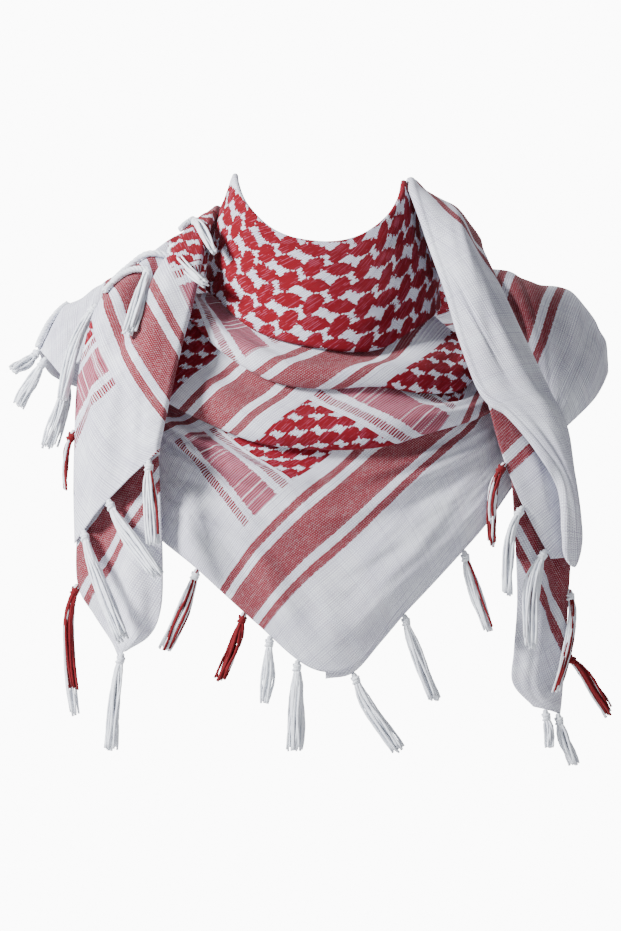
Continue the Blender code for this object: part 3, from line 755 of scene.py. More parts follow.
def scarf_bands():
    collar_keys = stations(-COLLAR_REACH, COLLAR_REACH, round(2 * COLLAR_REACH / STEP_ANGLE))
    keys = stations(-FRONT_REACH, FRONT_REACH, round(2 * FRONT_REACH / STEP_ANGLE))
    neck, low = Edge(NECK_RADIUS, -1, NECK_TUCK), Edge(FOLD_RADIUS, -1, LOW_TUCK)
    pressed, open_fold = Edge(FOLD_RADIUS, -1, FOLD_TUCK), Edge(FOLD_RADIUS, -1, 0)
    soft, loose = Edge(SOFT_RADIUS, -1, FOLD_TUCK), Edge(SOFT_RADIUS, -1, 0)
    collar = ring_band(COLLAR, collar_keys, neck, low, FOLDS["collar_wrap"])
    upper = hanging_band(collar, UPPER_SWAG, keys, loose, FOLDS["upper_swag"])
    lower = hanging_band(upper, LOWER_SWAG, keys, loose, FOLDS["lower_swag"])
    point = hanging_band(lower, FRONT_POINT, keys, HEM, FOLDS["front_point"])
    return {
        "collar_wrap": collar,
        "upper_swag": upper,
        "lower_swag": lower,
        "front_point": point,
        "under_layer": under_layer(point),
        "nape_wrap": ring_band(NAPE_WRAP, [97, 239.3], neck, pressed, FOLDS["nape_wrap"]),
        "nape_cross": ring_band(NAPE_CROSS, [128, 263], open_fold, soft, FOLDS["nape_cross"]),
        "left_panel": strip_band(LEFT_PANEL, HEM, soft, FOLDS["left_panel"], -1),
        "left_flap": strip_band(LEFT_FLAP, HEM, HEM, FOLDS["left_flap"], -1),
        "left_shoulder": strip_band(LEFT_SHOULDER, HEM, HEM, FOLDS["left_shoulder"], -1, 2),
        "right_roll": strip_band(RIGHT_ROLL, soft, soft, FOLDS["right_roll"], -1),
        "right_panel": strip_band(RIGHT_PANEL, HEM, HEM, FOLDS["right_panel"], -1),
        "right_flap": strip_band(RIGHT_FLAP, HEM, HEM, FOLDS["right_flap"], -1),
        "right_shoulder": strip_band(RIGHT_SHOULDER, HEM, HEM, FOLDS["right_shoulder"], 1, 2),
    }


BANDS = scarf_bands()


# ---------------------------------------------------------------- weaving a stretch out

# Slow swells of the cloth: how long and wide they are, and the finer ones over them.
SWELL_LONG, SWELL_WIDE = 46, 24
FINER, FINER_SHARE = 2.3, 0.35
# The share of the relief that is left at the first and the second edge.
FIRST_SHARE, SECOND_SHARE = 0.15, 0.3
SEED_STEP = 7.3
# Where a rounded end draws in to, across the stretch, and the least width it keeps.
ROUND_HEART, ROUND_LEAST = 0.6, 0.12
# The collar's turned tip: how far its hem runs in from row to row, and the plain white place on
# the square, in metres, that it shows.
HEM_SLANT = 0.4
HEM_PLACE = (0.05, 0.03)


def soft_relief(drape, creases, scale, seed, key, across):
    """How far the cloth stands off its form: small creases and slow, uneven swells."""
    per_key, width = scale
    along, over = key * per_key, across * width
    place = Vector((along / SWELL_LONG, over / SWELL_WIDE, seed))
    swell = noise.noise(place) + FINER_SHARE * noise.noise(place * FINER)
    low = smooth(over / drape.fade_first)
    high = smooth((width - over) / drape.fade_second)
    height = drape.relief * swell + fold_height(creases, scale, key, across)
    first = FIRST_SHARE + (1 - FIRST_SHARE) * low
    return height * first * (SECOND_SHARE + (1 - SECOND_SHARE) * high)


def woven_grid(name):
    """Rows of points over a stretch, in millimetres, and how many of a row come before its face."""
    band, drape = BANDS[name], DRAPES[name]
    creases = CREASES.get(name, ())
    scale = fold_lines(band)
    seed = SEED_STEP * (1 + sorted(BANDS).index(name))
    rows = []
    for key in stations(band.keys[0], band.keys[-1], drape.rows):
        here = section(band, scale, key)
        out = facing(band, key)
        middle = []
        for i in range(drape.columns + 1):
            across = i / drape.columns
            stand = soft_relief(drape, creases, scale, seed, key, across)
            middle.append((here(across), out * stand))
        before = turned_edge(band, key, 0.0, band.start_edge, FINE_TURN, TUCK_STEPS)[::-1]
        after = turned_edge(band, key, 1.0, band.end_edge, FINE_TURN, TUCK_STEPS)
        row = [p + middle[0][1] for p in before]
        row += [p + stand for p, stand in middle]
        row += [p + middle[-1][1] for p in after]
        left = (band.keys[-1] - key) / (band.keys[-1] - band.keys[0])
        if name in ROUNDED and left < ROUNDED[name]:
            heart = here(ROUND_HEART)
            narrow = max(math.sqrt(1 - (1 - left / ROUNDED[name]) ** 2), ROUND_LEAST)
            row = [heart.lerp(p, narrow) for p in row]
        rows.append(row)
    return rows, len(before), band, drape


def laid_flat(name, rows, lead, band, drape):
    """Each point's place on the stretch laid flat: along its rows and across them."""
    level = LAYS[name].level
    centre = lead + drape.columns // 2
    low = lead + drape.columns
    across = []
    for row in rows:
        run = [0.0]
        for a, b in zip(row, row[1:]):
            run.append(run[-1] + (b - a).length)
        zero = run[low] + row[low].z if level == 1 else run[centre]
        across.append([r - zero for r in run])
    keys = stations(band.keys[0], band.keys[-1], drape.rows)
    start = min(range(len(keys)), key=lambda i: abs(keys[i])) if level else 0
    along = [[0.0] * len(rows[0]) for _ in rows]
    for j in range(len(rows[0])):
        track = j if level else centre
        for i in range(1, len(rows)):
            along[i][j] = along[i - 1][j] + (rows[i][track] - rows[i - 1][track]).length
        origin = along[start][j]
        for i in range(len(rows)):
            along[i][j] -= origin
    gather = GATHERS.get(name)
    for i, key in enumerate(keys if gather else ()):
        share = smooth((key - gather.key) / gather.reach)
        top = across[i][lead]
        for j, t in enumerate(across[i]):
            taken = share * math.exp(-(((t - top) / gather.depth) ** 2))
            across[i][j] -= gather.down * taken
            along[i][j] += gather.along * taken
    return along, across


def on_the_square(name, rows, lead, band, drape):
    """Each point's distances from the selvage and from the tasselled edge, in metres."""
    lay = LAYS[name]
    along, across = laid_flat(name, rows, lead, band, drape)
    share = (lay.key - band.keys[0]) / (band.keys[-1] - band.keys[0])
    i, j = round(share * drape.rows), lead + round(lay.across * drape.columns)
    origin = Vector((along[i][j], across[i][j]))
    warp, weft = math.radians(lay.warp), math.radians(lay.weft)
    threads = Matrix((
        (math.cos(warp), math.cos(weft)),
        (math.sin(warp), math.sin(weft)),
    )).inverted()
    placed = []
    for s_row, t_row in zip(along, across):
        for s, t in zip(s_row, t_row):
            b, a = threads @ (Vector((s, t)) - origin)
            placed.append(((a + lay.selvage) * MM, (b + lay.tasselled) * MM))
    return placed


def stretch_of_cloth(name, thickness, cloth):
    """One stretch of the scarf as a thin shell, standing for its node."""
    rows, lead, band, drape = woven_grid(name)
    placed = on_the_square(name, rows, lead, band, drape)
    wide = len(rows[0])
    faces = []
    for i in range(len(rows) - 1):
        for j in range(wide - 1):
            corner = i * wide + j
            quad = (corner, corner + 1, corner + wide + 1, corner + wide)
            faces.append(quad if band.side > 0 else quad[::-1])
    mesh = bpy.data.meshes.new(name + "_cloth")
    mesh.from_pydata([tuple(c * MM for c in p) for row in rows for p in row], [], faces)
    threads = mesh.uv_layers.new(name="threads")
    tip = placed[HEM_ROWS * wide + lead]
    for face in mesh.polygons:
        row, column = divmod(face.index, wide - 1)
        turned = name == "collar_wrap" and column < lead + HEM_SLANT * (HEM_ROWS - row)
        for i in face.loop_indices:
            a, b = placed[mesh.loops[i].vertex_index]
            hem = (a - tip[0] + HEM_PLACE[0], b - tip[1] + HEM_PLACE[1])
            threads.data[i].uv = hem if turned else (a, b)
    mesh.materials.append(cloth)
    mesh.shade_smooth()
    piece = bpy.data.objects.new(name + "_cloth", mesh)
    bpy.context.scene.collection.objects.link(piece)
    shell = piece.modifiers.new("thickness", "SOLIDIFY")
    shell.thickness = thickness
    shell.offset = 0
    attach(piece, "root")
    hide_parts(name)
    return piece


# ---------------------------------------------------------------- yarn

# The head: how far down each place of its ends is, how far out they lie there, and their radius.
HEAD = ((-0.2, 0.9, 0.7), (1.2, 1.7, 0.95), (3.0, 2.0, 0.95), (5.2, 2.4, 0.9))
HEAD_ENDS = 9
# From these shares of red yarn on, every other end of the head is red, and the knot is.
MIXED_HEAD, RED_KNOT = 0.3, 0.5
KNOT_TOP, KNOT_TALL, KNOT_WIDE = 3.0, 8.5, 4.3
KNOT_LOW = KNOT_TOP + KNOT_TALL
# The knot's core: shares of its height and the radius there. Its turns: where each starts round
# the knot and how thick it is.
CORE = ((-0.15, 1.6), (0.05, 3.0), (0.3, 3.7), (0.6, 3.7), (0.85, 3.2), (1.1, 2.2))
KNOT_TURNS = ((0.4, 1.5), (3.3, 1.3), (1.7, 1.25))
TURN_PLACES = 20
# A plied cord on the cloth: its plies, how often they go round, and how high its middle lies.
CORD_PLIES, CORD_TURNS, CORD_RISE = 3, 5, 3.6
PLY_RADIUS, PLY_OUT = 1.7, 1.5
CORD_PLACES, CORD_STEPS = 12, 48
# Three rings of yarns: how far out each leaves the knot, and its share of the tassel's spread.
RINGS = ((0.7, 0.25), (2.0, 0.6), (3.0, 0.95))
RING_STEP = 0.382  # of a round, from one yarn to the next
YARN_STEPS = 18


class Bundle:
    """The strands of one tassel: points, faces, and for each face 1 where its yarn is red."""

    def __init__(self):
        self.points, self.faces, self.marks = [], [], []

    def strand(self, path, radii, sides, red):
        """A closed strand through the path's points; radii has one value for each of them."""
        firsts = []
        side = None
        for i, centre in enumerate(path):
            before, after = path[max(i - 1, 0)], path[min(i + 1, len(path) - 1)]
            heading = (after - before).normalized()
            if side is None:
                side = heading.orthogonal().normalized()
            side = (side - heading * side.dot(heading)).normalized()
            other = heading.cross(side)
            firsts.append(len(self.points))
            for k in range(sides):
                angle = math.tau * k / sides
                out = side * math.cos(angle) + other * math.sin(angle)
                self.points.append(centre + out * radii[i])
        for a, b in zip(firsts, firsts[1:]):
            for k in range(sides):
                n = (k + 1) % sides
                self.faces.append((a + k, a + n, b + n, b + k))
        self.faces.append(tuple(firsts[0] + k for k in range(sides))[::-1])
        self.faces.append(tuple(firsts[-1] + k for k in range(sides)))
        self.marks += [red] * (len(self.faces) - len(self.marks))


def way_out(band, key, across):
    """Off the cloth: past the nearest hem, or off the face; and how far off a tassel starts."""
    _, tangent, normal = frame_at(band, key, across)
    if across in (0, 1):
        return tangent * (1 if across else -1), HEM_GAP
    if key in (band.keys[0], band.keys[-1]):
        step = 0.02 if key == band.keys[0] else -0.02
        inner = face(band, key + step * (band.keys[-1] - band.keys[0]), across)
        return (face(band, key, across) - inner).normalized(), HEM_GAP
    return normal, WALL / 2 + 0.3


class Root:
    """Where a tassel leaves the cloth: the way off the cloth, and the way its head points."""

    def __init__(self, band, row):
        self.off, gap = way_out(band, row.key, row.across)
        self.place = face(band, row.key, row.across) + self.off * gap
        self.end = Vector((row.end_x, row.end_y, row.end_z))
        self.axis = (self.off * 0.4 + (self.end - self.place).normalized()).normalized()
        self.side = self.axis.orthogonal().normalized()
        self.other = self.axis.cross(self.side)

    def apart(self, angle):
        return self.side * math.cos(angle) + self.other * math.sin(angle)

    def around(self, down, out, angle):
        return self.place + self.axis * down + self.apart(angle) * out


def gather_head(bundle, root, red):
    """The warp ends, drawn together from the hem into the knot."""
    radii = [radius for _, _, radius in HEAD]
    for i in range(HEAD_ENDS):
        angle = math.tau * i / HEAD_ENDS
        path = [root.around(down, out, angle + down * 0.2) for down, out, _ in HEAD]
        bundle.strand(path, radii, 5, i % 2 if red > MIXED_HEAD else 0)


def tie_knot(bundle, root, red):
    """The knot: the bundle itself, with two turns round it and its end drawn through."""
    core = [root.around(KNOT_TOP + KNOT_TALL * down, 0, 0) for down, _ in CORE]
    bundle.strand(core, [radius for _, radius in CORE], 10, red)
    for turn, size in KNOT_TURNS:
        loop, radii = [], []
        for i in range(TURN_PLACES + 1):
            t = i / TURN_PLACES
            angle = turn + math.tau * 0.95 * t
            down = 0.12 + 0.26 * turn / 1.7 + 0.42 * (t - 0.5) * math.cos(turn * 2)
            out = KNOT_WIDE * (0.74 + 0.12 * math.sin(math.tau * t + turn))
            loop.append(root.around(KNOT_TOP + KNOT_TALL * down, out, angle))
            radii.append(size * (0.45 + 0.55 * math.sin(math.pi * i / TURN_PLACES)))
        bundle.strand(loop, radii, 8, red)


def cord_place(band, lead, t):
    """A place along a cord that lies on the cloth, from its first place to its last."""
    step = t * (len(lead) - 1)
    i = min(int(step), len(lead) - 2)
    share = step - i
    key = lead[i][0] * (1 - share) + lead[i + 1][0] * share
    across = lead[i][1] * (1 - share) + lead[i + 1][1] * share
    point, _, normal = frame_at(band, key, across)
    return point + normal * CORD_RISE


def lay_cord(bundle, band, lead):
    """A plied cord over the cloth to the tassel."""
    middle = sampled(lambda t: cord_place(band, lead, t), stations(0, 1, CORD_PLACES))
    for ply in range(CORD_PLIES):
        path = []
        for t in stations(0, 1, CORD_STEPS):
            spin = math.tau * (t * CORD_TURNS + ply / CORD_PLIES)
            heading = (middle(min(t + 0.02, 1)) - middle(max(t - 0.02, 0))).normalized()
            left = heading.orthogonal().normalized()
            up = heading.cross(left)
            path.append(middle(t) + (left * math.cos(spin) + up * math.sin(spin)) * PLY_OUT)
        bundle.strand(path, [PLY_RADIUS] * len(path), 6, 0)


def hang_yarn(bundle, root, row, count, thick, pick):
    """One yarn from the knot to the tassel's end, with a spread, sway and curl of its own."""
    out, spread = RINGS[count % len(RINGS)]
    angle = math.tau * (count * RING_STEP + 0.05 * pick.random())
    radius = out * pick.uniform(0.85, 1.1)
    red = count < round(row.red * row.yarns)
    start = root.around(KNOT_LOW - 1.5, radius * 0.8, angle)
    reach = (root.end - start).length
    apart = root.apart(angle)
    tip_spread = row.spread * spread * pick.uniform(0.75, 1.1)
    length = pick.uniform(0.94, 1.01) * (row.red_reach if red else 1.0)
    bend = start + root.axis * reach * 0.3 + apart * row.spread * 0.75 + root.off * row.lift
    tip = start.lerp(root.end + apart * tip_spread, length)
    sway = Vector([pick.uniform(-1, 1) for _ in range(3)])
    wave = pick.uniform(0, math.tau)
    curl = pick.uniform(5.0, 8.5)
    size = thick * pick.uniform(0.85, 1.15)
    path, radii = [], []
    for k in range(YARN_STEPS + 1):
        t = k / YARN_STEPS
        centre = start * (1 - t) ** 2 + bend * 2 * t * (1 - t) + tip * t**2
        centre += sway * 2.0 * math.sin(math.pi * t) * math.sin(3.2 * t + wave)
        centre += root.apart(wave + curl * t) * 0.9 * t
        path.append(centre)
        radii.append(size * (1 - 0.12 * t**3 + 0.1 * math.sin(k * 2.1 + wave)))
    bundle.strand(path, radii, 6, 1 if red else 0)


def knotted_tassel(row, sizes, yarns, seed):
    """A bundle of yarns gathered from the cloth's edge, tied in a knot and hung."""
    band, pick, bundle = BANDS[row.wall], random.Random(seed), Bundle()
    root = Root(band, row)
    gather_head(bundle, root, row.red)
    tie_knot(bundle, root, 1 if row.red > RED_KNOT else 0)
    if row.name in LEADS:
        lay_cord(bundle, band, LEADS[row.name])
    for count in range(row.yarns):
        hang_yarn(bundle, root, row, count, sizes.yarn / MM, pick)
    mesh = bpy.data.meshes.new(row.name + "_yarns")
    mesh.from_pydata([tuple(c * MM for c in p) for p in bundle.points], [], bundle.faces)
    for yarn in yarns:
        mesh.materials.append(yarn)
    mesh.polygons.foreach_set("material_index", bundle.marks)
    mesh.shade_smooth()
    piece = bpy.data.objects.new(row.name + "_yarns", mesh)
    bpy.context.scene.collection.objects.link(piece)
    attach(piece, "root")
    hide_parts(row.name)
    return piece


# ---------------------------------------------------------------- shading

class Wire:
    """A value in a node tree that sums are written with: each sum is one Math node."""

    def __init__(self, tree, socket):
        self.tree, self.socket = tree, socket

    def sum(self, kind, *others, clamp=False):
        node = self.tree.nodes.new("ShaderNodeMath")
        node.operation = kind
        node.use_clamp = clamp
        for slot, value in zip(node.inputs, (self, *others)):
            if isinstance(value, Wire):
                self.tree.links.new(value.socket, slot)
            else:
                slot.default_value = value
        return Wire(self.tree, node.outputs[0])

    def __add__(self, other):
        return self.sum("ADD", other)

    def __sub__(self, other):
        return self.sum("SUBTRACT", other)

    def __mul__(self, other):
        return self.sum("MULTIPLY", other)

    def __truediv__(self, other):
        return self.sum("DIVIDE", other)

    def __abs__(self):
        return self.sum("ABSOLUTE")

    def least(self, other):
        return self.sum("MINIMUM", other)

    def most(self, other):
        return self.sum("MAXIMUM", other)

    def under(self, other):
        return self.sum("LESS_THAN", other)

    def over(self, other):
        return self.sum("GREATER_THAN", other)

    def within(self, centre, reach):
        return self.sum("COMPARE", centre, reach)

    def whole(self):
        return self.sum("FLOOR")

    def part(self):
        return self.sum("FRACT")

    def wrapped(self, size):
        return self.sum("WRAP", size / 2, -size / 2)

    def chance(self):
        """A steady random value, 0 to 1, for each value of this one."""
        node = self.tree.nodes.new("ShaderNodeTexWhiteNoise")
        node.noise_dimensions = "1D"
        self.tree.links.new(self.socket, node.inputs["W"])
        return Wire(self.tree, node.outputs["Value"])


def group_with(name, inputs, outputs):
    tree = bpy.data.node_groups.new(name, "ShaderNodeTree")
    for label, kind, value in inputs:
        made = tree.interface.new_socket(label, in_out="INPUT", socket_type=kind)
        if value is not None:
            made.default_value = value
    for label, kind in outputs:
        tree.interface.new_socket(label, in_out="OUTPUT", socket_type=kind)
    source = tree.nodes.new("NodeGroupInput")
    sink = tree.nodes.new("NodeGroupOutput")
    return tree, source, sink


def mixed(tree, factor, first, second, blend="MIX"):
    node = tree.nodes.new("ShaderNodeMix")
    node.data_type = "RGBA"
    node.blend_type = blend
    for slot, value in ((0, factor), (6, first), (7, second)):
        value = value.socket if isinstance(value, Wire) else value
        if isinstance(value, bpy.types.NodeSocket):
            tree.links.new(value, node.inputs[slot])
        else:
            node.inputs[slot].default_value = value
    return node.outputs[2]


def cloud(tree, a, b, across, along, detail=2.0):
    """Soft noise over the cloth, drawn out along the warp; a value near 0.5."""
    join = tree.nodes.new("ShaderNodeCombineXYZ")
    tree.links.new((a * (1 / across)).socket, join.inputs[0])
    tree.links.new((b * (1 / along)).socket, join.inputs[1])
    node = tree.nodes.new("ShaderNodeTexNoise")
    node.inputs["Scale"].default_value = 1.0
    node.inputs["Detail"].default_value = detail
    tree.links.new(join.outputs[0], node.inputs["Vector"])
    return Wire(tree, node.outputs["Fac"])


WEAVE_STEP = 1.8  # millimetres from one raised thread to the next


def weave_group():
    """Plain weave: the rise of its threads, and the painted shade in the gaps between them."""
    tree, source, sink = group_with(
        "plain weave",
        [("Selvage", "NodeSocketFloat", None), ("Tasselled", "NodeSocketFloat", None)],
        [("Height", "NodeSocketFloat"), ("Gap", "NodeSocketFloat")],
    )
    a = Wire(tree, source.outputs["Selvage"])
    b = Wire(tree, source.outputs["Tasselled"])
    uneven = cloud(tree, a, b, 2.2, 40.0) * 0.9
    across = ((a + uneven) * (math.tau / WEAVE_STEP)).sum("SINE")
    slub = cloud(tree, b, a, 2.2, 40.0) * 0.9
    along = ((b + slub) * (math.tau / WEAVE_STEP)).sum("SINE")
    height = across.most(along) * 0.5 + across * along * 0.25
    loose = cloud(tree, a + 90.0, b, 9.0, 60.0) + cloud(tree, b + 40.0, a, 5.0, 70.0)
    # The gaps between the threads, where the colour gets painted shade; a looser weave shades them
    # more.
    between = (across * -1.0 - 0.1).most(along * -0.8 - 0.1).most(0.0)
    gap = between * (loose - 0.35).most(0.15) * 1.6
    tree.links.new(height.socket, sink.inputs["Height"])
    tree.links.new(gap.socket, sink.inputs["Gap"])
    return tree


# The figure's layout in millimetres. Across the cloth, from the selvage: two borders, the lane
# between them and the centre. Along it, from the tasselled edge: two rows of blocks, and fields
# of float patches between and beyond them.
THREAD = 1.1
BORDERS = (123.0, 334.5)
BORDER_HALF = 16.0
NARROW_OFF, NARROW_HALF = 28.0, 4.0
BLOCKS = (90.5, 281.5)
BLOCK_HALF = 16.5
COMB_OFF, COMB_HALF = 28.7, 4.3
LANE, LANE_HALF = 228.5, 57.5
CENTRE_FROM = 383.0
LOW_FIELD, LOW_FIELD_HALF = 185.5, 57.5
HIGH_FIELD_FROM = 319.5
LARGE_CELL, SMALL_CELL = 30.5, 24.0
# What repeats finely: comb teeth, block lines, ribs, stitches, float streaks and the painted shade
# lines of the white ground's ribs.
TOOTH, LINE, RIB, STITCH, STREAK, SHADED_RIB = 2.6, 2.3, 1.3, 2.2, 1.7, 2.5
PIP, PIP_SHIFT = 2.0, 0.7  # the small open places of the weave

# a and b are the distances from the nearer selvage and the nearer tasselled edge, a0 and b0 those
# from the first of each. Each warp and weft thread has a number and a chance of its own.
Threads = namedtuple("Threads", "a b a0 b0 warp weft warp_chance weft_chance")
Dyes = namedtuple("Dyes", "white shade float_red band_red block_pink")


def threads_from(tree, source):
    a0 = Wire(tree, source.outputs["Selvage"])
    b0 = Wire(tree, source.outputs["Tasselled"])
    a = abs(a0).least((a0 - SQUARE) * -1.0)
    b = abs(b0).least((b0 - SQUARE) * -1.0)
    warp, weft = (a0 / THREAD).whole(), (b0 / THREAD).whole()
    return Threads(a, b, a0, b0, warp, weft, warp.chance(), (weft + 0.37).chance())


def patch_at(x, y, cell, jag, lean, length, breadth):
    """One family of float patches on a square lattice of the threads: 1 inside them."""
    off_x, off_y = x.wrapped(cell), (y + jag).wrapped(cell)
    turn = math.radians(lean)
    run = (off_y * math.cos(turn) - off_x * math.sin(turn)) / length
    rise = (off_y * math.sin(turn) + off_x * math.cos(turn)) / breadth
    return (run * run + rise * rise).under(1.0)


def dash_at(x, y, cell, place_x, place_y, half_x, half_y):
    """Small squares or slits on the same lattice."""
    return (
        (x - place_x).wrapped(cell).within(0.0, half_x)
        * (y - place_y).wrapped(cell).within(0.0, half_y)
    )


def large_patches(x, y, own):
    """The centre's patches: two families that lean apart, linked at their corners, with slits."""
    half = LARGE_CELL / 2
    patches = patch_at(x, y, LARGE_CELL, own * 3.8, 35, 12.0, 8.4)
    patches = patches.most(patch_at(x + half, y + half, LARGE_CELL, own * 3.8, -16, 14.4, 7.1))
    patches = patches.most(dash_at(x, y, LARGE_CELL, -8.3, 8.3, 2.3, 2.6))
    patches = patches.most(dash_at(x, y, LARGE_CELL, 8.3, -8.3, 2.3, 2.6))
    return patches.most(dash_at(x, y, half, 7.6, 4.0, 0.7, 2.0))


def small_patches(x, y, own):
    """The lane's patches: the same make-up, smaller and closer."""
    half = SMALL_CELL / 2
    patches = patch_at(x, y, SMALL_CELL, own * 3.0, 30, 9.4, 7.4)
    patches = patches.most(patch_at(x + half, y + half, SMALL_CELL, own * 3.0, 8, 9.2, 7.6))
    return patches.most(dash_at(x, y, half, 6.0, 6.0, 0.8, 2.8))


def float_patches(tree, at, small_field, large_field):
    """All float patches. Each thread of one starts and stops a little off its neighbour."""
    drift = (cloud(tree, at.a, at.b, 34.0, 34.0) - 0.5) * 4.0
    x = (at.warp * THREAD) + drift
    y = (at.b0 / 0.8).whole() * 0.8 + drift * 0.6
    own = (at.warp + (at.b0 / 15.0).whole() * 31.7).chance() - 0.5
    large, small = large_patches(x, y, own), small_patches(x, y, own)
    return (large * large_field).most(small * small_field)


def undyed_cloth(tree, at, dyes, fields, pips):
    """The white ground: cooler here and there, with painted shade along the weave's ribs and in its
    small open places.
    """
    tint = cloud(tree, at.a0, at.b0, 60.0, 60.0, 1.0)
    ground = mixed(tree, (tint - 0.35).most(0.0) * 0.9, dyes.white, dyes.shade)
    between_floats = (at.a / STREAK).part().under(0.4) * fields
    ground = mixed(tree, between_floats * 0.8, ground, dyes.shade)
    # Darker lines along the warp and the weft: painted shade of the weave's ribs.
    warp_line = ((at.a + at.weft_chance * 0.4) / SHADED_RIB).part().under(0.42)
    warp_line = warp_line * (cloud(tree, at.a, at.b, 4.0, 90.0) - 0.22)
    weft_line = ((at.b + at.warp_chance * 0.4) / SHADED_RIB).part().under(0.36)
    weft_line = weft_line * (cloud(tree, at.b, at.a, 4.0, 90.0) - 0.28)
    ground = mixed(tree, warp_line.most(weft_line).most(0.0) * 1.7, ground, dyes.shade)
    # Painted shade in the weave's small open places, stronger where the weave is more open.
    openness = ((cloud(tree, at.a0, at.b0, 30.0, 30.0) - 0.2) * 2.4).most(0.2).least(0.85)
    return mixed(tree, pips * openness, ground, dyes.shade)


def block_cloth(tree, at, dyes, fine_line, grain):
    """A block's fine lines: most are mixed threads, a few plain white and a few dark red."""
    line_chance = ((at.a / LINE).whole() + 0.71).chance()
    stitch = ((at.b + line_chance * 3.0) / STITCH).part().under(0.5)
    ribs = (at.b / RIB).part().under(0.45)
    pale_line = line_chance.over(0.95).most(line_chance.over(0.84) * stitch) * fine_line
    dark_line = line_chance.under(0.36) * fine_line
    tone = (grain - 0.3).most(0.0) * 1.1 + ribs * 0.14 + fine_line * 0.16
    block = mixed(tree, tone.least(1.0), dyes.block_pink, dyes.band_red)
    block = mixed(tree, (fine_line * -1.0 + 1.0) * ribs * 0.24, block, dyes.white)
    block = mixed(tree, dark_line * 0.42, block, dyes.band_red)
    return mixed(tree, pale_line * 0.75, block, dyes.white)


def border_cloth(tree, at, dyes, pips, grain):
    """A border's twill: red with small white places between, and slightly paler picks."""
    speck = (at.warp * 3.1 + at.weft * 7.7).chance()
    show = pips * 0.18 + speck.over(0.85) * 0.06 + (grain - 0.5).most(0.0) * 0.2
    dyed = mixed(tree, show, dyes.band_red, dyes.white)
    return mixed(tree, (at.b / 2.4).part().under(0.4) * 0.22, dyed, dyes.block_pink)


def float_cloth(tree, at, dyes):
    """A patch's floats: red, with paler streaks along them and deeper places."""
    streak = (at.a / STREAK).part().under(0.42) * cloud(tree, at.a, at.b, 1.5, 16.0).over(0.55)
    floated = mixed(tree, streak * 0.75, dyes.float_red, dyes.block_pink)
    deep = cloud(tree, at.a + 20.0, at.b, 3.0, 24.0)
    return mixed(tree, (deep - 0.42).most(0.0) * 2.0, floated, dyes.band_red)


def keffiyeh_group():
    """The woven figure: borders, blocks, combs and float patches by distance from the edges."""
    tree, source, sink = group_with(
        "keffiyeh figure",
        [
            ("Selvage", "NodeSocketFloat", None),
            ("Tasselled", "NodeSocketFloat", None),
            ("White", "NodeSocketColor", (0.8, 0.8, 0.83, 1)),
            ("Shade", "NodeSocketColor", (0.6, 0.56, 0.66, 1)),
            ("Float red", "NodeSocketColor", (0.5, 0.02, 0.03, 1)),
            ("Band red", "NodeSocketColor", (0.5, 0.06, 0.08, 1)),
            ("Block pink", "NodeSocketColor", (0.6, 0.3, 0.35, 1)),
        ],
        [("Color", "NodeSocketColor")],
    )
    dyes = Dyes(*(
        source.outputs[name] for name in ("White", "Shade", "Float red", "Band red", "Block pink")
    ))
    at = threads_from(tree, source)
    a, b = at.a, at.b
    # Borders and blocks are made up alike: a wide band, and a narrow band or comb on each side.
    beside = a + (at.weft_chance - 0.5) * 0.8
    off_border = abs(beside - BORDERS[0]).least(abs(beside - BORDERS[1]))
    border = off_border.under(BORDER_HALF).most(off_border.within(NARROW_OFF, NARROW_HALF))
    below = b + (at.warp_chance - 0.5) * 1.6
    off_block = abs(below - BLOCKS[0]).least(abs(below - BLOCKS[1]))
    lane, centre = a.within(LANE, LANE_HALF), a.over(CENTRE_FROM)
    between = lane.most(centre)
    block = off_block.under(BLOCK_HALF)
    comb = off_block.within(COMB_OFF, COMB_HALF)
    teeth = (a / TOOTH).part().under((a / TOOTH).whole().chance() * 0.24 + 0.42) * comb
    high, low = b.over(HIGH_FIELD_FROM), b.within(LOW_FIELD, LOW_FIELD_HALF)
    small_field = (lane * low.most(high)).most(centre * low)
    large_field = centre * high
    # The colours, from the ground up.
    grain = cloud(tree, a, b, 3.0, 16.0)
    fine_line = (a / LINE).part().under(0.45)
    # The weave's small open places: painted shade in the white ground, white showing through in the
    # borders.
    pips = ((b + (a / PIP).whole() * PIP_SHIFT) / PIP).part().under(0.5)
    pips = pips * (a / PIP).part().under(0.5)
    ground = undyed_cloth(tree, at, dyes, small_field.most(large_field), pips)
    blocks = block_cloth(tree, at, dyes, fine_line, grain)
    colour = mixed(tree, block * between, ground, blocks)
    ghost = (block * fine_line).most(teeth) * (between * -1.0 + 1.0)
    colour = mixed(tree, ghost * 0.07, colour, dyes.block_pink)
    colour = mixed(tree, comb * between, colour, mixed(tree, 0.2, ground, dyes.block_pink))
    colour = mixed(tree, teeth * between, colour, dyes.float_red)
    colour = mixed(tree, border, colour, border_cloth(tree, at, dyes, pips, grain))
    patches = float_patches(tree, at, small_field, large_field)
    colour = mixed(tree, patches, colour, float_cloth(tree, at, dyes))
    tree.links.new(colour, sink.inputs["Color"])
    return tree


def placed_group(tree, group, **values):
    """A group placed in a material; each value's name is its socket's, with _ for a space."""
    node = tree.nodes.new("ShaderNodeGroup")
    node.node_tree = group
    for name, value in values.items():
        slot = node.inputs[name.replace("_", " ")]
        if isinstance(value, Wire):
            tree.links.new(value.socket, slot)
        else:
            slot.default_value = value
    return node


# The finish of every piece: matt cotton with a little sheen.
SPECULAR, SHEEN_ROUGHNESS = 0.12, 0.6
# Painted shade in the gaps of the weave: its dark tint and how strongly it is mixed in.
GAP_SHADE, GAP_SHADE_SHARE = (0.45, 0.42, 0.5, 1), 0.5
WEAVE_BUMP, FIBRE_BUMP, BUMP_RISE = 0.35, 0.5, 0.0003
FIBRE_SCALE, SHADE_SCALE = 900.0, 120.0


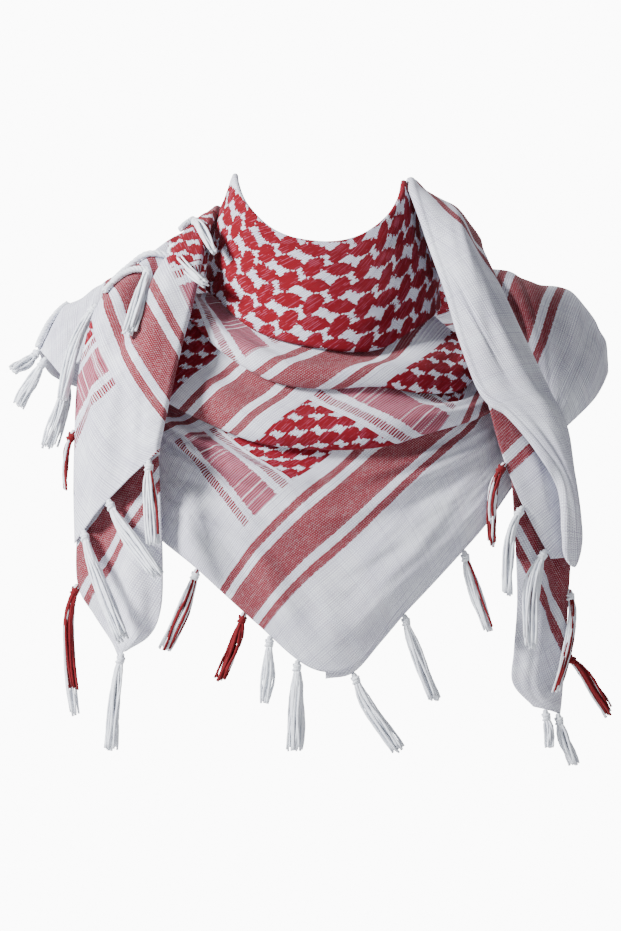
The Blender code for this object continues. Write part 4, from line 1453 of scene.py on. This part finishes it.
def bare_material(name, roughness, sheen):
    made = bpy.data.materials.new(name)
    made.use_nodes = True
    shader = made.node_tree.nodes["Principled BSDF"]
    shader.inputs["Roughness"].default_value = roughness
    shader.inputs["Specular IOR Level"].default_value = SPECULAR
    shader.inputs["Sheen Weight"].default_value = sheen
    shader.inputs["Sheen Roughness"].default_value = SHEEN_ROUGHNESS
    return made, made.node_tree, shader


def raised_by(tree, height, strength, shader):
    bump = tree.nodes.new("ShaderNodeBump")
    bump.inputs["Strength"].default_value = strength
    bump.inputs["Distance"].default_value = BUMP_RISE
    tree.links.new(height, bump.inputs["Height"])
    tree.links.new(bump.outputs[0], shader.inputs["Normal"])


def woven_cotton(colours, weave, figure):
    """Plain-woven cotton with the red figure in it, by each point's place on the square."""
    made, tree, shader = bare_material("woven_cotton", 0.95, 0.03)
    threads = tree.nodes.new("ShaderNodeUVMap")
    threads.uv_map = "threads"
    split = tree.nodes.new("ShaderNodeSeparateXYZ")
    tree.links.new(threads.outputs[0], split.inputs[0])
    a, b = (Wire(tree, split.outputs[i]) * (1 / MM) for i in (0, 1))
    cloth = placed_group(tree, weave, Selvage=a, Tasselled=b)
    drawn = placed_group(
        tree, figure, Selvage=a, Tasselled=b, White=(*colours.white, 1), Shade=(*colours.shade, 1),
        Float_red=(*colours.float_red, 1), Band_red=(*colours.band_red, 1),
        Block_pink=(*colours.block_pink, 1))
    # Painted shade: the colour is multiplied towards a dark tint in the gaps between the threads.
    gap = Wire(tree, cloth.outputs["Gap"])
    gap_shaded = mixed(tree, gap * GAP_SHADE_SHARE, drawn.outputs["Color"], GAP_SHADE, "MULTIPLY")
    tree.links.new(gap_shaded, shader.inputs["Base Color"])
    raised_by(tree, cloth.outputs["Height"], WEAVE_BUMP, shader)
    return made


def spun_yarn(name, colour, dark):
    """Loose-spun yarn: fine fibres along it with a slow change of shade."""
    made, tree, shader = bare_material(name, 0.9, 0.08)
    place = tree.nodes.new("ShaderNodeTexCoord")
    fibres = tree.nodes.new("ShaderNodeTexNoise")
    fibres.inputs["Scale"].default_value = FIBRE_SCALE
    fibres.inputs["Detail"].default_value = 3.0
    shade = tree.nodes.new("ShaderNodeTexNoise")
    shade.inputs["Scale"].default_value = SHADE_SCALE
    for node in (fibres, shade):
        tree.links.new(place.outputs["Object"], node.inputs["Vector"])
    value = Wire(tree, fibres.outputs["Fac"]) * 0.5 + Wire(tree, shade.outputs["Fac"]) * 0.6
    tone = mixed(tree, (value - 0.3).most(0.0).least(1.0), (*colour, 1), (*dark, 1))
    tree.links.new(tone, shader.inputs["Base Color"])
    raised_by(tree, fibres.outputs["Fac"], FIBRE_BUMP, shader)
    return made


def paints(colours):
    """The scarf's materials, made once."""
    if "woven_cotton" not in bpy.data.materials:
        woven_cotton(colours, weave_group(), keffiyeh_group())
        spun_yarn("white_yarn", colours.white_yarn, colours.shade)
        spun_yarn("red_yarn", colours.red_yarn, colours.deep_red)
    return [bpy.data.materials[n] for n in ("woven_cotton", "white_yarn", "red_yarn")]


# ---------------------------------------------------------------- add-on

class ScarfSizes(bpy.types.PropertyGroup):
    cloth: FloatProperty(
        name="Cloth", description="Thickness of the woven cloth",
        default=0.0009, min=0.0004, max=0.0016, unit="LENGTH")
    yarn: FloatProperty(
        name="Yarn", description="Radius of one tassel yarn",
        default=0.00125, min=0.0003, max=0.002, unit="LENGTH")
    seed: IntProperty(name="Seed", description="Changes how the yarns fall", default=4, min=0)


def colour(name, description, value):
    return FloatVectorProperty(
        name=name, description=description, default=value, subtype="COLOR", size=3, min=0, max=1)


class ScarfColours(bpy.types.PropertyGroup):
    white: colour("White", "Undyed cotton", (0.87, 0.91, 0.95))
    # Also the tone of the painted shade along the white ground's ribs and in its open places.
    shade: colour("Shade", "The cooler tone of the undyed cotton", (0.36, 0.34, 0.46))
    float_red: colour("Float red", "Red of the float patches", (0.17, 0.0025, 0.009))
    band_red: colour("Band red", "Red of the borders", (0.165, 0.008, 0.014))
    block_pink: colour("Block pink", "Red and white threads mixed", (0.33, 0.072, 0.125))
    white_yarn: colour("White yarn", "White tassels", (0.84, 0.88, 0.92))
    red_yarn: colour("Red yarn", "Red tassels", (0.15, 0.004, 0.008))
    deep_red: colour("Deep red", "The darker tone of the red yarn", (0.08, 0.004, 0.006))


def make_stretches(context, names):
    sizes, colours = context.scene.scarf_sizes, context.scene.scarf_colours
    cloth = paints(colours)[0]
    for name in names:
        stretch_of_cloth(name, sizes.cloth, cloth)
    return {"FINISHED"}


class SCARF_OT_front(bpy.types.Operator):
    """Collar, the two swags under it, the front point and the layer behind the point"""
    bl_idname = "scarf.front"
    bl_label = "Front of the scarf"

    def execute(self, context):
        return make_stretches(
            context, ("collar_wrap", "upper_swag", "lower_swag", "front_point", "under_layer"))


class SCARF_OT_nape(bpy.types.Operator):
    """The two stretches that cross behind the neck"""
    bl_idname = "scarf.nape"
    bl_label = "Nape of the scarf"

    def execute(self, context):
        return make_stretches(context, ("nape_wrap", "nape_cross"))


class SCARF_OT_left_end(bpy.types.Operator):
    """The end over the left of the view: shoulder, panel and flap"""
    bl_idname = "scarf.left_end"
    bl_label = "Left end"

    def execute(self, context):
        return make_stretches(context, ("left_shoulder", "left_panel", "left_flap"))


class SCARF_OT_right_end(bpy.types.Operator):
    """The end over the right of the view: shoulder, roll, panel and flap"""
    bl_idname = "scarf.right_end"
    bl_label = "Right end"

    def execute(self, context):
        return make_stretches(
            context, ("right_shoulder", "right_roll", "right_panel", "right_flap"))


class SCARF_OT_tassels(bpy.types.Operator):
    """Knotted yarn tassels along the two tasselled edges"""
    bl_idname = "scarf.tassels"
    bl_label = "Tassels"

    def execute(self, context):
        sizes = context.scene.scarf_sizes
        yarns = paints(context.scene.scarf_colours)[1:]
        for i, row in enumerate(TASSELS):
            knotted_tassel(row, sizes, yarns, sizes.seed * 100 + i)
        return {"FINISHED"}


class SCARF_OT_declare(bpy.types.Operator):
    """Looks up the tassels on each stretch and the stretches it rests on, and keeps neither"""
    bl_idname = "scarf.declare"
    bl_label = "State the cuts"

    def execute(self, context):
        for name, cut in CUTS.items():
            own = [bpy.data.objects[t.name + "_yarns"] for t in TASSELS if t.wall == name]
            [n + "_cloth" for n in cut.rests_on]
        return {"FINISHED"}


# The stage, in metres: a round pale floor, a cool even room with a white
# backdrop, and three lamps, each with its place, power and size.
FLOOR_RADIUS, FLOOR_SIDES, FLOOR_HEIGHT, FLOOR_WHITE = 2.6, 64, -0.9, (0.86, 0.86, 0.86, 1)
ROOM_COLOUR, ROOM_LIGHT = (0.93, 0.96, 1, 1), 0.30
BACKDROP_COLOUR, BACKDROP_LIGHT = (1, 1, 1, 1), 11.0
LAMPS = (
    ("key", (-1.6, -0.85, 0.75), 130, 0.45),
    ("fill", (1.1, -2.6, 0.5), 11, 1.4),
    ("back", (0.6, 2.0, 1.6), 60, 1.4),
)
LAMPS_AIM = (0, 0, -0.1)
# The camera's view in pixels, how much a pixel covers, the pixel of the frame's origin, and how
# far off the camera stands and the neck's front comes towards it.
VIEW_WIDE, VIEW_TALL, MM_PER_PIXEL = 621, 931, 0.92
ORIGIN_X, ORIGIN_Y = 320, 300
CAMERA_AWAY, FRONT_AWAY, FILM_TALL, SIGHT_END = 10.0, 0.1, 24, 100


def pale_floor():
    mesh = bpy.data.meshes.new("floor")
    turns = [math.tau * i / FLOOR_SIDES for i in range(FLOOR_SIDES)]
    rim = [(FLOOR_RADIUS * math.cos(t), FLOOR_RADIUS * math.sin(t), FLOOR_HEIGHT) for t in turns]
    mesh.from_pydata(rim, [], [tuple(range(FLOOR_SIDES))])
    pale, _, shader = bare_material("pale_floor", 0.8, 0.0)
    shader.inputs["Base Color"].default_value = FLOOR_WHITE
    mesh.materials.append(pale)
    floor = bpy.data.objects.new("floor", mesh)
    bpy.context.scene.collection.objects.link(floor)


def studio_room():
    """Even light from all round, with a brighter backdrop that only the camera sees."""
    world = bpy.data.worlds.new("studio")
    world.use_nodes = True
    room = world.node_tree
    soft = room.nodes["Background"]
    soft.inputs["Color"].default_value = ROOM_COLOUR
    soft.inputs["Strength"].default_value = ROOM_LIGHT
    backdrop = room.nodes.new("ShaderNodeBackground")
    backdrop.inputs["Color"].default_value = BACKDROP_COLOUR
    backdrop.inputs["Strength"].default_value = BACKDROP_LIGHT
    seen = room.nodes.new("ShaderNodeLightPath")
    either = room.nodes.new("ShaderNodeMixShader")
    room.links.new(seen.outputs["Is Camera Ray"], either.inputs[0])
    room.links.new(soft.outputs[0], either.inputs[1])
    room.links.new(backdrop.outputs[0], either.inputs[2])
    room.links.new(either.outputs[0], room.nodes["World Output"].inputs["Surface"])
    return world


def soft_lamp(name, place, power, size):
    light = bpy.data.lights.new(name, "AREA")
    light.energy = power
    light.size = size
    lamp = bpy.data.objects.new(name, light)
    lamp.location = place
    aim = Vector(LAMPS_AIM) - Vector(place)
    lamp.rotation_euler = aim.to_track_quat("-Z", "Y").to_euler()
    bpy.context.scene.collection.objects.link(lamp)


def front_camera():
    lens = bpy.data.cameras.new("camera")
    lens.sensor_fit = "VERTICAL"
    lens.sensor_height = FILM_TALL
    lens.lens = FILM_TALL * (CAMERA_AWAY - FRONT_AWAY) / (VIEW_TALL * MM_PER_PIXEL * MM)
    lens.clip_end = SIGHT_END
    camera = bpy.data.objects.new("camera", lens)
    aside = (VIEW_WIDE / 2 - ORIGIN_X) * MM_PER_PIXEL * MM
    up = (ORIGIN_Y - VIEW_TALL / 2) * MM_PER_PIXEL * MM
    camera.location = (aside, -CAMERA_AWAY, up)
    camera.rotation_euler = (math.pi / 2, 0, 0)
    bpy.context.scene.collection.objects.link(camera)
    return camera


class SCARF_OT_stage(bpy.types.Operator):
    """Pale floor, soft lights and the camera"""
    bl_idname = "scarf.stage"
    bl_label = "Stage"

    def execute(self, context):
        pale_floor()
        context.scene.world = studio_room()
        for lamp in LAMPS:
            soft_lamp(*lamp)
        context.scene.camera = front_camera()
        return {"FINISHED"}


class SCARF_PT_panel(bpy.types.Panel):
    bl_label = "Keffiyeh neck scarf"
    bl_idname = "SCARF_PT_panel"
    bl_space_type = "VIEW_3D"
    bl_region_type = "UI"
    bl_category = "Scarf"

    def draw(self, context):
        for group in (context.scene.scarf_sizes, context.scene.scarf_colours):
            box = self.layout.box()
            for name in group.__annotations__:
                box.prop(group, name)
        for step in STEPS:
            self.layout.operator(step.bl_idname)


STEPS = (
    SCARF_OT_front, SCARF_OT_nape, SCARF_OT_left_end, SCARF_OT_right_end, SCARF_OT_tassels,
    SCARF_OT_declare, SCARF_OT_stage,
)
CLASSES = (ScarfSizes, ScarfColours, *STEPS, SCARF_PT_panel)


def register():
    for made in CLASSES:
        bpy.utils.register_class(made)
    bpy.types.Scene.scarf_sizes = PointerProperty(type=ScarfSizes)
    bpy.types.Scene.scarf_colours = PointerProperty(type=ScarfColours)


def unregister():
    del bpy.types.Scene.scarf_sizes
    del bpy.types.Scene.scarf_colours
    for made in reversed(CLASSES):
        bpy.utils.unregister_class(made)


def main():
    register()
    bpy.ops.scarf.front()
    bpy.ops.scarf.nape()
    bpy.ops.scarf.left_end()
    bpy.ops.scarf.right_end()
    bpy.ops.scarf.tassels()
    bpy.ops.scarf.declare()
    bpy.ops.scarf.stage()


if __name__ == "__main__":
    main()
